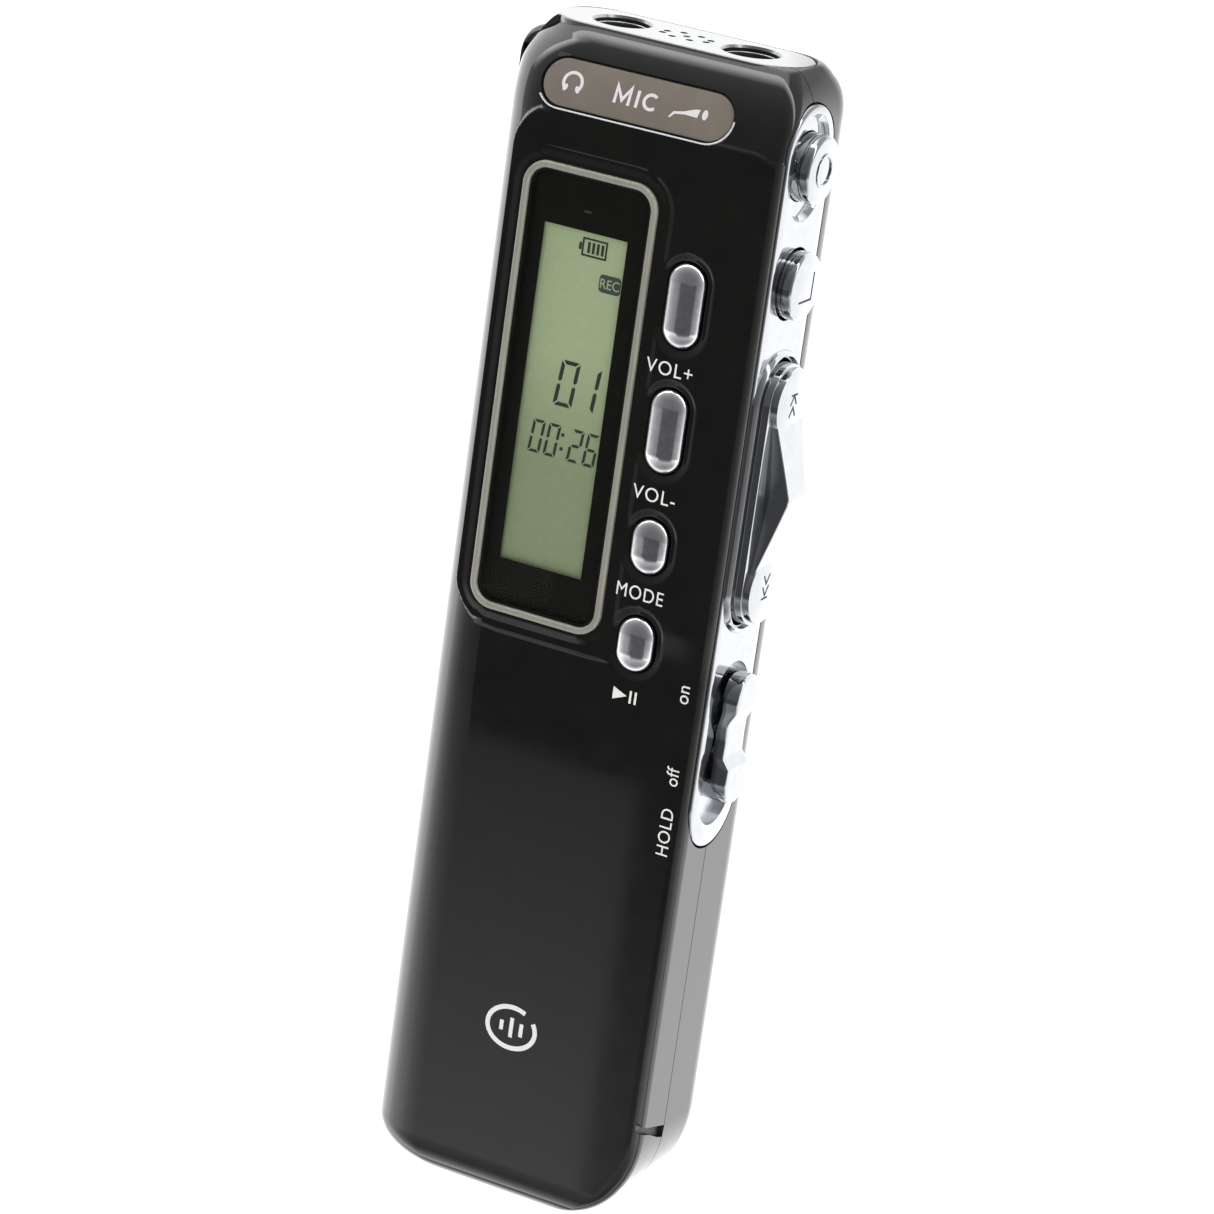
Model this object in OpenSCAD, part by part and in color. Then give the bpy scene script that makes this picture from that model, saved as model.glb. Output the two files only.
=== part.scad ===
// Handheld voice recorder, lying on its back.
// +X is the key side, +Y is the end with the sockets, +Z comes out of the display.
// The origin is the middle of the flat back.

/* [Body] */
// Width of the casing, without the side keys
body_w = 27; // [27:0.1:27.4]
// Length of the casing
body_l = 102; // [102:0.1:102.4]
// Thickness of the casing
body_t = 14; // [14:0.05:14.2]
// Wall thickness of both shells
wall = 1.4; // [1.3:0.05:1.5]
// Height of the seam between the shells above the back
seam_z = 9.05; // [8.95:0.01:9.15]

/* [Display] */
// Width of the display bezel
bezel_w = 12.4; // [12:0.1:12.6]
// Length of the display bezel
bezel_l = 38.6; // [38:0.1:39]
// Width of the visible part of the display
view_w = 7.7; // [7:0.1:8]
// Length of the visible part of the display
view_l = 29; // [28:0.1:30]

/* [Keys] */
// Width of the front keys
key_w = 3.4; // [3.2:0.05:3.5]
// Length of the two volume keys
volume_l = 7.2; // [6.8:0.1:7.4]
// Length of the mode and play keys
short_l = 4.8; // [4.4:0.1:5]
// Radius of the round side keys
side_key_r = 2.85; // [2.8:0.05:3]
// How far the round side keys stand out of the trim
side_key_rise = 1.3; // [1.1:0.1:1.6]

/* [Sockets] */
// Radius of the 3.5 mm sockets' bores
socket_r = 1.8; // [1.78:0.01:1.82]
// Depth of the sockets' bores
socket_depth = 14; // [13:0.5:14]
// Distance from the centre line to each socket
socket_x = 5.9; // [5.8:0.05:6]

/* [Hidden] */
$fn = 64;
slit = 0.1;           // half the gap of the seam and of other fixed joints
half_w = body_w / 2;
half_l = body_l / 2;

// Rounding of the casing
front_left_r = 6;     // wide round of the long edge away from the keys
front_right_r = 1.2;  // tight round of the long edge beside the keys
back_r = 4.5;         // both long edges of the back
foot_r = 4;           // front and back edges of the lower end
crown_r = 9;          // the front's slope down to the sockets
crown_y = half_l - 7.5;
crown_z = body_t - crown_r;
top_back_r = 2.7;
plan_r_left = 3.8;    // lower corner away from the keys
plan_r_right = 10;    // lower corner below the keys
plan_r_top = 5.5;
top_arc_y = half_l - 4.32;

// Raised pad around the display
pad_rise = 0.12;
pad_left = -10.7;
pad_right = 11.6;
pad_bottom = -0.1;
pad_top = 44.6;
pad_r = 4;
front_z = body_t + pad_rise;

// Levels inside, from the back up
board_z = 9.15;       // underside of the circuit board
board_t = 0.8;
board_top = board_z + board_t;
glass_t = 1.2;
ledge_z = body_t - 0.8;
inner_front = body_t - wall;
glass_z = inner_front - 0.1 - glass_t;

// Display
bezel_x = -2.93;
bezel_y = 20.86;
bezel_r = 2.2;
bezel_wall = 0.85;
bezel_rise = 0.33;
view_x = -3.3;
view_y = 20.4;

// Front keys: name, y and length go together
key_x = 6.66;
volume_up_y = 31.1;
volume_down_y = 20.5;
mode_y = 10.6;
play_y = 2.1;
key_gap = 0.15;
key_top = body_t + 0.85;
key_travel = 0.35;
front_switch_ys = [volume_up_y, volume_down_y, mode_y, play_y];

// Side trim and its keys
trim_z = seam_z;
trim_half_h = 4.2;
trim_top_y = 48.6;
trim_bottom_y = -15.1;
trim_in = half_w - 0.8;
trim_out = half_w + 0.1;
trim_ledge = 0.8;
record_y = 43.5;
stop_y = 33.8;
rocker_y = 16.1;
rocker_half = 8;      // from the rocker's middle to each thumb pad
rocker_r = 3.2;
rocker_axis_x = 12.1;
pin_r = 0.5;
knob_top_y = 0.65;
knob_l = 11.5;
knob_y = knob_top_y - knob_l / 2;
knob_travel = 1.9;
dish_y = -6.05;

// Socket end
cap_z = 6.5;
cap_half_l = 11.4;
cap_r = 3.75;
cap_t = 0.8;
cap_hole_r = 2.48;
jack_end = half_l - cap_t - 0.1;

// Lower end: two AAA cells and the sliding door
cell_r = 5.2;
cell_l = 43.6;
cell_nub_l = 0.9;
cell_z = 6.75;
cell_xs = [-6.1, 4.5];
cell_mid_y = -25.2;
door_half_w = 9.6;
door_top_y = -2.4;
door_end_z = 5;
door_gap = 0.12;

screw_spots = [[-10.4, 39.1], [10.4, 39.1], [-10.4, 2.1], [2.4, 2.1]];
boss_r = 1.5;
foot_boss_r = 2.1;
foot_boss_z = 3.6;
screw_r = 0.75;
head_r = 1.2;
head_z = 2.5;         // face the screw heads bear on
screw_top = 12.1;

// ---------- shared shapes ----------

// A box given by two opposite corners.
module block(low, high) {
  translate(low) cube(high - low);
}

// A flat stadium: a slot of radius r between two points on the y axis.
module slot2d(half_len, r) {
  square([2 * r, 2 * (half_len - r)], center = true);
  for (s = [-1, 1]) translate([0, s * (half_len - r)]) circle(r);
}

// A rectangle with round corners, in true arcs.
module round_rect2d(w, l, r) {
  square([w - 2 * r, l], center = true);
  square([w, l - 2 * r], center = true);
  for (x = [-1, 1], y = [-1, 1]) translate([x * (w / 2 - r), y * (l / 2 - r)]) circle(r);
}

// Turns a flat shape drawn in y and z so that it is extruded along +X from x0.
module along_x(x0, depth) {
  translate([x0, 0, 0]) rotate([90, 0, 90]) linear_extrude(depth) children();
}

// Turns a flat shape drawn in x and z so that it is extruded along +Y from y0.
module along_y(y0, depth) {
  translate([0, y0 + depth, 0]) rotate([90, 0, 0]) linear_extrude(depth) children();
}

// A round wire through a list of points, with a ball at each bend.
module wire(points, r) {
  for (k = [0 : len(points) - 2]) {
    step = points[k + 1] - points[k];
    reach = norm(step);
    translate(points[k])
      rotate([0, acos(step[2] / reach), atan2(step[1], step[0])])
        cylinder(r = r, h = reach, $fn = 24);
    if (k > 0) translate(points[k]) sphere(r * 1.06, $fn = 24);
  }
}

// ---------- casing ----------

// Outline seen from the front, shrunk by i.
module plan2d(i) {
  head_x = half_w - plan_r_top;
  left_x = -half_w + plan_r_left;
  left_y = -half_l + plan_r_left;
  right_x = half_w - plan_r_right;
  right_y = -half_l + plan_r_right;
  intersection() {
    union() {
      translate([left_x, left_y]) circle(plan_r_left - i);
      translate([right_x, right_y]) circle(plan_r_right - i);
      for (s = [-1, 1]) translate([s * head_x, top_arc_y]) circle(plan_r_top - i);
      translate([left_x, -half_l + i]) square([right_x - left_x, plan_r_right]);
      translate([-half_w + i, left_y]) square([half_w, top_arc_y - left_y]);
      translate([-1, right_y]) square([half_w - i + 1, top_arc_y - right_y]);
      translate([-head_x, top_arc_y - 1]) square([2 * head_x, plan_r_top - i + 1]);
    }
    translate([-half_w, -half_l]) square([body_w, body_l - i]);
  }
}

// Cross-section seen from the lower end, shrunk by i.
module section2d(i) {
  tight = max(front_right_r - i, 0);
  right_x = half_w - i - tight;
  right_z = body_t - i - tight;
  left_x = -half_w + front_left_r;
  left_z = body_t - front_left_r;
  back_x = half_w - back_r;
  translate([left_x, back_r]) square([right_x - left_x, body_t - i - back_r]);
  translate([-half_w + i, back_r]) square([front_left_r - i, left_z - back_r]);
  translate([-back_x, i]) square([2 * back_x, back_r]);
  translate([left_x, left_z]) circle(front_left_r - i);
  for (s = [-1, 1]) translate([s * back_x, back_r]) circle(back_r - i);
  if (tight > 0) {
    translate([right_x, right_z]) circle(tight);
    translate([right_x - 1, back_r]) square([tight + 1, right_z - back_r]);
  }
}

// Profile seen from the side, in y and z, shrunk by i.
module profile2d(i) {
  foot_y = -half_l + foot_r;
  back_y = half_l - top_back_r;
  translate([foot_y, i]) square([crown_y - foot_y, body_t - 2 * i]);
  translate([-half_l + i, foot_r]) square([foot_r, body_t - 2 * foot_r]);
  for (z = [foot_r, body_t - foot_r]) translate([foot_y, z]) circle(foot_r - i);
  translate([crown_y - 1, top_back_r]) square([half_l - i - crown_y + 1, crown_z - top_back_r]);
  translate([crown_y - 1, i]) square([back_y - crown_y + 1, top_back_r]);
  translate([back_y, top_back_r]) circle(top_back_r - i);
  intersection() {
    translate([crown_y, crown_z]) circle(crown_r - i);
    translate([crown_y - 1, crown_z - 1]) square([half_l - i - crown_y + 1, crown_r + 1]);
  }
}

// The casing as one solid, shrunk by i.
module body_solid(i) {
  intersection() {
    linear_extrude(body_t) plan2d(i);
    along_y(-half_l, body_l) section2d(i);
    along_x(-half_w, body_w) profile2d(i);
  }
}

// The raised pad around the display, above the rounded edge.
module display_pad() {
  intersection() {
    translate([(pad_left + pad_right) / 2, (pad_bottom + pad_top) / 2, body_t - 3])
      linear_extrude(3 + pad_rise)
        round_rect2d(pad_right - pad_left, pad_top - pad_bottom, pad_r);
    linear_extrude(body_t + 1) plan2d(0);
  }
}

// Space for the side trim, cut from both shells.
module trim_pocket() {
  mid_y = (trim_top_y + trim_bottom_y) / 2;
  half = (trim_top_y - trim_bottom_y) / 2;
  translate([0, mid_y, trim_z]) rotate([90, 0, 90]) {
    translate([0, 0, trim_in]) linear_extrude(3)
      rotate(90) slot2d(half + slit, trim_half_h + slit);
    translate([0, 0, half_w - 3]) linear_extrude(4)
      rotate(90) slot2d(half - trim_ledge, trim_half_h - trim_ledge);
  }
}

// Space for the socket plate, cut from both shells.
module cap_pocket() {
  translate([0, 0, cap_z]) rotate([-90, 0, 0]) {
    translate([0, 0, half_l - cap_t]) linear_extrude(3)
      rotate(90) slot2d(cap_half_l + slit / 2, cap_r + slit / 2);
    translate([0, 0, half_l - 4]) linear_extrude(6)
      rotate(90) slot2d(cap_half_l - 1.2, cap_r - 0.5);
  }
}

// Where the label sits on the slope above the display.
module on_slope() {
  label_y = 46.66;
  tilt = asin((label_y - crown_y) / crown_r);
  translate([-0.4, crown_y, crown_z]) rotate([-tilt, 0, 0]) translate([0, 0, crown_r])
    children();
}

module front_shell() color("#141512") {
  difference() {
    intersection() {
      union() {
        body_solid(0);
        display_pad();
      }
      block([-half_w, -half_l, seam_z + slit], [half_w, half_l, body_t + 1]);
    }
    intersection() {
      body_solid(wall);
      block([-half_w, -half_l, 0], [half_w, half_l, inner_front]);
    }
    translate([bezel_x, bezel_y, ledge_z]) linear_extrude(2)
      round_rect2d(bezel_w + slit, bezel_l + slit, bezel_r + slit / 2);
    translate([bezel_x, bezel_y, inner_front - 1]) linear_extrude(2)
      round_rect2d(bezel_w - 2.4, bezel_l - 2.4, 1.4);
    front_key_hole(volume_up_y, volume_l);
    front_key_hole(volume_down_y, volume_l);
    front_key_hole(mode_y, short_l);
    front_key_hole(play_y, short_l);
    on_slope() translate([0, 0, -0.8]) linear_extrude(2) rotate(90) slot2d(8.75, 2.15);
    trim_pocket();
    cap_pocket();
    usb_window();
    cell_relief();
    pry_notch();
    translate([rocker_axis_x, rocker_y, seam_z]) cylinder(r = pin_r + 0.02, h = 4.2);
    for (p = screw_spots) translate([p[0], p[1], seam_z])
      cylinder(r = screw_r + 0.02, h = screw_top + 0.1 - seam_z);
  }
  for (p = screw_spots) difference() {
    intersection() {
      translate([p[0], p[1], seam_z + slit]) cylinder(r = boss_r, h = inner_front - seam_z);
      body_solid(0.4);
    }
    translate([p[0], p[1], 0]) cylinder(r = screw_r + 0.02, h = screw_top + 0.1);
  }
}

// Shallow notch in the side wall below the keys.
module pry_notch() {
  translate([half_w - 0.5, 0, 0]) rotate([90, 0, 90]) linear_extrude(1.5)
    polygon([[-42.1, seam_z - 1], [-41.8, 10], [-40.95, 11.8], [-40.4, 13.5],
             [-39.75, 13.5], [-40.05, 12.5], [-40.95, seam_z - 1]]);
}

module front_key_hole(y, l) {
  translate([key_x, y, inner_front - 1]) linear_extrude(3)
    slot2d(l / 2 + key_gap, key_w / 2 + key_gap);
}

// Room for the cells where they come close to the casing's corners.
module cell_relief() {
  for (x = cell_xs) translate([x, -47.6, cell_z]) rotate([-90, 0, 0]) cylinder(r = cell_r + 0.15, h = 44.4);
}

module usb_window() {
  translate([-half_w - 1, usb_y, usb_z]) rotate([90, 0, 90]) linear_extrude(4)
    round_rect2d(7.9, 4.1, 0.5);
}

usb_y = 28.5;
usb_z = 7.05;

// Opening that the battery door closes, with the given extra on each side.
module door_region(extra) {
  block([-door_half_w - extra, -half_l - 1, -1],
        [door_half_w + extra, door_top_y + extra, door_end_z + extra]);
}

// Corner lug with an eye for a wrist strap.
lug_t = 3.6;
module strap_lug() {
  lug_top = 49.6;
  difference() {
    translate([0, 0, seam_z - slit - lug_t]) linear_extrude(lug_t) difference() {
      union() {
        translate([-half_w + 1.6, lug_top - 1.6]) circle(1.6);
        translate([-half_w, 44]) square([1.6, lug_top - 1.6 - 44]);
        translate([-half_w + 1.6, 44]) square([3.4, lug_top - 44]);
      }
      translate([-head_corner_x, top_arc_y]) circle(plan_r_top - 0.6);
      polygon([[-half_w + 1, 46.4], [-half_w + 1, 48.9], [-half_w + 2.9, 48.9]]);
    }
    body_solid(0.6);
  }
}
head_corner_x = half_w - plan_r_top;

module rear_shell() color("#10110f") {
  difference() {
    union() {
      intersection() {
        body_solid(0);
        block([-half_w, -half_l, 0], [half_w, half_l, seam_z - slit]);
      }
      strap_lug();
    }
    body_solid(wall);
    door_region(door_gap);
    trim_pocket();
    cap_pocket();
    usb_window();
    cell_relief();
    speaker_grille();
    door_tracks();
    translate([rocker_axis_x, rocker_y, 4.9]) cylinder(r = pin_r + 0.02, h = seam_z);
    for (p = screw_spots) translate([p[0], p[1], -1]) cylinder(r = head_r + 0.2, h = head_z + 1);
  }
  for (p = screw_spots) difference() {
    intersection() {
      translate([p[0], p[1], 0.3]) {
        cylinder(r = foot_boss_r, h = foot_boss_z - 0.3);
        cylinder(r = boss_r, h = seam_z - slit - 0.3);
      }
      body_solid(0.3);
    }
    translate([p[0], p[1], -1]) cylinder(r = head_r + 0.2, h = head_z + 1);
    translate([p[0], p[1], 0]) cylinder(r = screw_r + 0.1, h = body_t);
  }
  difference() {
    block([11.4, rocker_y - 1.2, 4.5], [12.4, rocker_y + 1.2, 5.6]);
    translate([rocker_axis_x, rocker_y, 4.9]) cylinder(r = pin_r + 0.02, h = 3);
  }
  bay_wall();
}

// Tracks for the door's rails, open at the lower end.
module door_tracks() {
  for (s = [-1, 1]) translate([s * (door_half_w + 0.1), -half_l + 6, 1.95])
    cube([1.3, 14, 0.6], center = true);
}

// Wall between the battery bay and the electronics.
module bay_wall() {
  difference() {
    block([-half_w + wall - 0.2, -0.9, 0.6], [9.6, -0.1, 8.2]);
    difference() {
      block([-half_w - 1, -2, -1], [half_w, 1, body_t]);
      body_solid(wall - 0.3);
    }
  }
}

speaker_y = 15.5;
speaker_r = 6.4;
module speaker_grille() {
  for (ring = [0 : 2], k = [0 : max(6 * ring, 1) - 1]) {
    turn = ring == 0 ? 0 : 60 / ring * k;
    translate([1.75 * ring * cos(turn), speaker_y + 1.75 * ring * sin(turn), -1])
      cylinder(r = 0.55, h = 3, $fn = 24);
  }
}

// The door follows the casing's own outside and slides off towards the lower end.
module battery_door() color("#10110f") {
  intersection() {
    difference() {
      body_solid(0);
      for (k = [0 : 4]) translate([0, door_top_y - 5 - 1.3 * k, 0]) cube([11, 0.6, 0.8], center = true);
      difference() {
        body_solid(1.2);
        block([-half_w, -half_l, 0], [half_w, -half_l + 1.2, body_t]);
      }
    }
    block([-door_half_w, -half_l, 0.05], [door_half_w, door_top_y, door_end_z]);
    union() {
      block([-half_w, -half_l, 0.05], [half_w, half_l, 1.2]);
      block([-half_w, -half_l, 0], [half_w, -half_l + 3.4, body_t]);
    }
  }
  for (s = [-1, 1]) translate([s * (door_half_w - 0.4), 0, 0]) {
    block([-0.25, -45, 1], [0.25, door_top_y - 1, 2.1]);
    block([s > 0 ? -0.25 : -0.9, -45, 1.8], [s > 0 ? 0.9 : 0.25, door_top_y - 1, 2.1]);
  }
}

// ---------- trim, cap and display ----------

module side_trim() color("#dfe3e6") {
  mid_y = (trim_top_y + trim_bottom_y) / 2;
  half = (trim_top_y - trim_bottom_y) / 2;
  difference() {
    translate([0, mid_y, trim_z]) rotate([90, 0, 90]) translate([0, 0, trim_in + 0.02])
      linear_extrude(trim_out - trim_in - 0.02) rotate(90) slot2d(half, trim_half_h);
    for (y = [record_y, stop_y])
      translate([trim_in - 1, y, trim_z]) rotate([0, 90, 0]) cylinder(r = side_key_r + 0.15, h = 3);
    along_x(trim_in - 1, 3) translate([rocker_y, trim_z])
      rotate(90) slot2d(rocker_half + rocker_r + 0.25, rocker_r + 0.2);
    along_x(trim_out - 0.45, 1) translate([dish_y, trim_z]) dish2d();
    translate([half_w, knob_y - knob_travel / 2, trim_z])
      cube([4, 6 + knob_travel + 0.4, 2.4], center = true);
  }
  // Rim that frames the rocker
  along_x(trim_out - 0.1, 0.55) translate([rocker_y, trim_z]) rotate(90) difference() {
    slot2d(rocker_half + rocker_r + 0.95, rocker_r + 0.8);
    slot2d(rocker_half + rocker_r + 0.25, rocker_r + 0.2);
  }
}

// Waisted outline of the hollow around the hold knob.
module dish2d() {
  for (s = [-1, 1]) translate([s * 4.6, 0]) circle(2.6);
  square([9.2, 3.8], center = true);
}

module top_cap() color("#c9cdcf") {
  holes = [[0, 0], [-2, 0.45], [-2, -0.45], [2, 0.45], [2, -0.45],
           [-0.8, 1.1], [0.8, 1.1], [-0.8, -1.1], [0.8, -1.1]];
  translate([0, 0, cap_z]) rotate([-90, 0, 0]) difference() {
    translate([0, 0, half_l - cap_t + 0.02]) linear_extrude(cap_t)
      rotate(90) slot2d(cap_half_l, cap_r);
    for (s = [-1, 1]) translate([s * socket_x, 0, half_l - 2]) cylinder(r = cap_hole_r, h = 4);
    for (p = holes) translate([p[0], p[1], half_l - 2]) cylinder(r = 0.32, h = 4, $fn = 24);
  }
}

module display_bezel() color("#b7b1a4") {
  translate([bezel_x, bezel_y, 0]) difference() {
    translate([0, 0, ledge_z + 0.02]) linear_extrude(front_z + bezel_rise - ledge_z - 0.02)
      round_rect2d(bezel_w, bezel_l, bezel_r);
    translate([0, 0, ledge_z - 1]) linear_extrude(4)
      round_rect2d(bezel_w - 2 * bezel_wall, bezel_l - 2 * bezel_wall, bezel_r - bezel_wall);
  }
}

module display_lens() color("#1b1d1a", 0.5) {
  translate([bezel_x, bezel_y, ledge_z + 0.12]) linear_extrude(0.75)
    round_rect2d(bezel_w - 2 * bezel_wall - 0.1, bezel_l - 2 * bezel_wall - 0.1,
                 bezel_r - bezel_wall - 0.05);
}

// Black border printed on the back of the lens.
module display_mask() color("#0c0d0b") {
  difference() {
    translate([bezel_x, bezel_y, ledge_z + 0.04]) linear_extrude(0.07)
      round_rect2d(bezel_w - 2 * bezel_wall - 0.1, bezel_l - 2 * bezel_wall - 0.1,
                   bezel_r - bezel_wall - 0.05);
    translate([view_x - view_w / 2, view_y - view_l / 2, ledge_z - 1]) cube([view_w, view_l, 3]);
  }
}

module lcd_glass() color("#9dab8b") {
  translate([bezel_x, bezel_y, glass_z]) {
    translate([-5.4, -17.2, 0]) cube([10.8, 34.8, glass_t / 2]);
    translate([-5.4, -15.4, glass_t / 2]) cube([10.8, 33, glass_t / 2]);
  }
}

module lcd_backlight() color("#eef0e6") {
  block([bezel_x - 5.2, bezel_y - 14, board_top + 0.05], [bezel_x + 5.2, bezel_y + 17, glass_z - 0.05]);
}

// Rubber strip that carries the display's signals down to the board.
module lcd_connector() color("#4c4f52") {
  block([bezel_x - 5, bezel_y - 17, board_top + 0.03], [bezel_x + 5, bezel_y - 15.2, glass_z - 0.02]);
}

module label_plate() color("#716c64") {
  on_slope() translate([0, 0, -0.76]) linear_extrude(0.5) rotate(90) slot2d(8.6, 2.0);
}

// ---------- front keys ----------

// A chrome key with a crowned top and a flange that holds it behind the wall.
module front_key(y, l) {
  translate([key_x, y, 0]) {
    translate([0, 0, inner_front - 0.2]) linear_extrude(key_top - 0.35 - inner_front + 0.2)
      slot2d(l / 2, key_w / 2);
    translate([0, 0, key_top - 0.36]) linear_extrude(0.2) slot2d(l / 2 - 0.12, key_w / 2 - 0.12);
    translate([0, 0, key_top - 0.17]) linear_extrude(0.17) slot2d(l / 2 - 0.45, key_w / 2 - 0.45);
    translate([0, 0, inner_front - 0.6]) linear_extrude(0.5)
      slot2d(l / 2 + 0.6, key_w / 2 + 0.6);
  }
}
module volume_up_key() color("#d3d7dc") front_key(volume_up_y, volume_l);
module volume_down_key() color("#d3d7dc") front_key(volume_down_y, volume_l);
module mode_key() color("#d3d7dc") front_key(mode_y, short_l);
module play_key() color("#d3d7dc") front_key(play_y, short_l);

// Thin silicone sheet between the keys and the switches.
module key_mat() color("#e4e4de") {
  block([key_x - 2.3, -0.4, board_top + 1.4], [key_x + 2.1, 35.4, board_top + 1.6]);
}

// ---------- side keys ----------

// A round chrome key on the x axis: flange, shaft and a stepped face.
module side_key(y) {
  face = trim_out + side_key_rise;
  translate([0, y, trim_z]) rotate([0, 90, 0]) {
    translate([0, 0, trim_in - 0.95]) cylinder(r = 3.2, h = 0.6);
    translate([0, 0, trim_in - 0.5]) cylinder(r = side_key_r, h = face - 0.3 - trim_in + 0.5);
    translate([0, 0, face - 0.31]) cylinder(r1 = side_key_r, r2 = side_key_r - 0.3, h = 0.31);
  }
}
module record_key() color("#e2e5e8") {
  side_key(record_y);
  translate([trim_out + side_key_rise - 0.1, record_y, trim_z]) rotate([0, 90, 0])
    difference() {
      cylinder(r = 1.5, h = 0.3);
      translate([0, 0, 0.1]) cylinder(r = 1, h = 1);
    }
}
module stop_key() color("#e2e5e8") side_key(stop_y);

// One long key that tips about its middle.
module skip_rocker() color("#e2e5e8") {
  top = trim_out + 1.7;
  difference() {
    union() {
      along_x(11.5, 0.5) translate([rocker_y, trim_z])
        rotate(90) slot2d(rocker_half + rocker_r + 0.1, rocker_r - 0.05);
      along_x(11.9, trim_out + 1.15 - 11.9) translate([rocker_y, trim_z])
        rotate(90) slot2d(rocker_half + rocker_r, rocker_r);
      for (s = [-1, 1]) translate([12, rocker_y + s * rocker_half, trim_z])
        rotate([0, 90, 0]) cylinder(r = rocker_r - 0.25, h = top - 12);
      hump();
    }
    translate([rocker_axis_x, rocker_y, trim_z - 4]) cylinder(r = pin_r + 0.15, h = 8);
    translate([rocker_axis_x, rocker_y, trim_z - 4]) translate([-1, -pin_r - 0.15, 0])
      cube([1, 2 * pin_r + 0.3, 8]);
  }
}

// The ridge between the rocker's two thumb pads.
module hump() {
  translate([0, rocker_y, trim_z - 1.7]) linear_extrude(3.4)
    polygon([[trim_out, -rocker_half], [trim_out + 1.7, -6.4], [trim_out + 3.3, -0.3],
             [trim_out + 3.3, 0.8], [trim_out + 1.7, 6.8], [trim_out, rocker_half]]);
}

module rocker_pin() color("#b9bcc0") {
  translate([rocker_axis_x, rocker_y, 4.95]) cylinder(r = pin_r, h = 8.2);
}

// Waisted thumb piece of the hold switch, with its stem and fork.
module hold_knob() color("#e2e5e8") {
  base = trim_out + 0.12;
  lobe = 2.25;
  reach = knob_l / 2 - lobe;
  difference() {
    union() {
      for (s = [-1, 1]) translate([base, knob_y + s * reach, trim_z]) rotate([0, 90, 0]) {
        cylinder(r = lobe, h = 1.3);
        translate([0, 0, 1.3]) cylinder(r1 = lobe, r2 = lobe - 0.3, h = 0.3);
      }
      block([base, knob_y - reach, trim_z - 1.5], [base + 1.2, knob_y + reach, trim_z + 1.5]);
      block([12, knob_y - 3, trim_z - 1], [base + 0.2, knob_y + 3, trim_z + 1]);
      block([11.1, knob_y - 0.6, trim_z - 1], [12.1, knob_y + 0.6, trim_z - 0.6]);
    }
    block([base + 0.95, knob_y - 1.6, trim_z - 3], [base + 3, knob_y + 1.4, trim_z + 3]);
  }
}

// ---------- electronics ----------

module main_board() color("#1f6b3a") {
  difference() {
    union() {
      linear_extrude(board_z + board_t) intersection() {
        plan2d(wall + 0.4);
        translate([-11.6, 0.1]) square([22.2, 49.2]);
      }
      block([9.35, -14, 0], [10.6, 1, board_top]);
    }
    translate([0, 0, -1]) cube([200, 200, 2 * board_z + 2], center = true);
    for (p = screw_spots) translate([p[0], p[1], 0]) cylinder(r = boss_r + 0.25, h = body_t);
  }
}

// Four tactile switches under the front keys.
module front_switches() color("#c8ccd0") {
  for (y = front_switch_ys) translate([key_x, y, board_top]) {
    translate([-1.6, -1.5, 0.02]) cube([3.2, 3, 0.95]);
    translate([0, 0, 0.9]) cylinder(r = 0.8, h = 0.45);
  }
}

// Side-operated tactile switches behind the round keys and the rocker.
module side_switches() color("#c8ccd0") {
  for (y = [record_y, stop_y, rocker_y + rocker_half, rocker_y - rocker_half])
    translate([0, y, board_top + 0.02]) {
      block([9, -1.7, 0], [10.5, 1.7, 1.5]);
      translate([10.4, 0, 0.75]) rotate([0, 90, 0]) cylinder(r = 0.5, h = 0.5);
    }
}

module hold_switch() color("#b4b8bc") {
  difference() {
    block([9.95, knob_y - 4.5, 7.3], [11.5, knob_y + 3.5, board_z - 0.03]);
    block([10.7, knob_y - 3, trim_z - 1.25], [12, knob_y + 1.1, trim_z - 0.35]);
  }
}

// Moulded 3.5 mm socket, its bore open towards +Y.
module jack(x) {
  difference() {
    union() {
      block([x - 2.8, jack_end - socket_depth - 1, cap_z - 2.6], [x + 2.8, jack_end - 1, board_z - 0.05]);
      translate([x, jack_end - 1.1, cap_z]) rotate([-90, 0, 0]) cylinder(r = 2.4, h = 1.1);
    }
    translate([x, jack_end - socket_depth, cap_z]) rotate([-90, 0, 0])
      cylinder(r = socket_r, h = socket_depth + 1);
  }
}
module headphone_jack() color("#17181a") jack(-socket_x);
module line_in_jack() color("#17181a") jack(socket_x);

module usb_socket() color("#b9bdc1") {
  translate([0, usb_y, usb_z]) difference() {
    block([-half_w + 0.5, -3.8, -1.9], [-4.4, 3.8, 1.9]);
    block([-half_w - 1, -3.4, -1.5], [-6, 3.4, 1.5]);
  }
  block([-half_w + 1.6, usb_y - 2.5, usb_z - 0.4], [-5.9, usb_y + 2.5, usb_z + 0.4]);
}

module microphone() color("#c3c6c9") {
  translate([0, 46.9, cap_z]) rotate([-90, 0, 0]) {
    cylinder(r = 2, h = 1.6);
    translate([0, 0, -0.3]) cylinder(r = 1.7, h = 0.4);
  }
}

// Rubber boot that seals the microphone against the plate.
module mic_boot() color("#202122") {
  translate([0, 47.2, cap_z]) rotate([-90, 0, 0]) difference() {
    cylinder(r = 2.55, h = half_l - cap_t - 47.25);
    translate([0, 0, -1]) cylinder(r = 2.05, h = 2.4);
    translate([0, 0, 1]) cylinder(r = 1.6, h = 5);
  }
}

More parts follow.
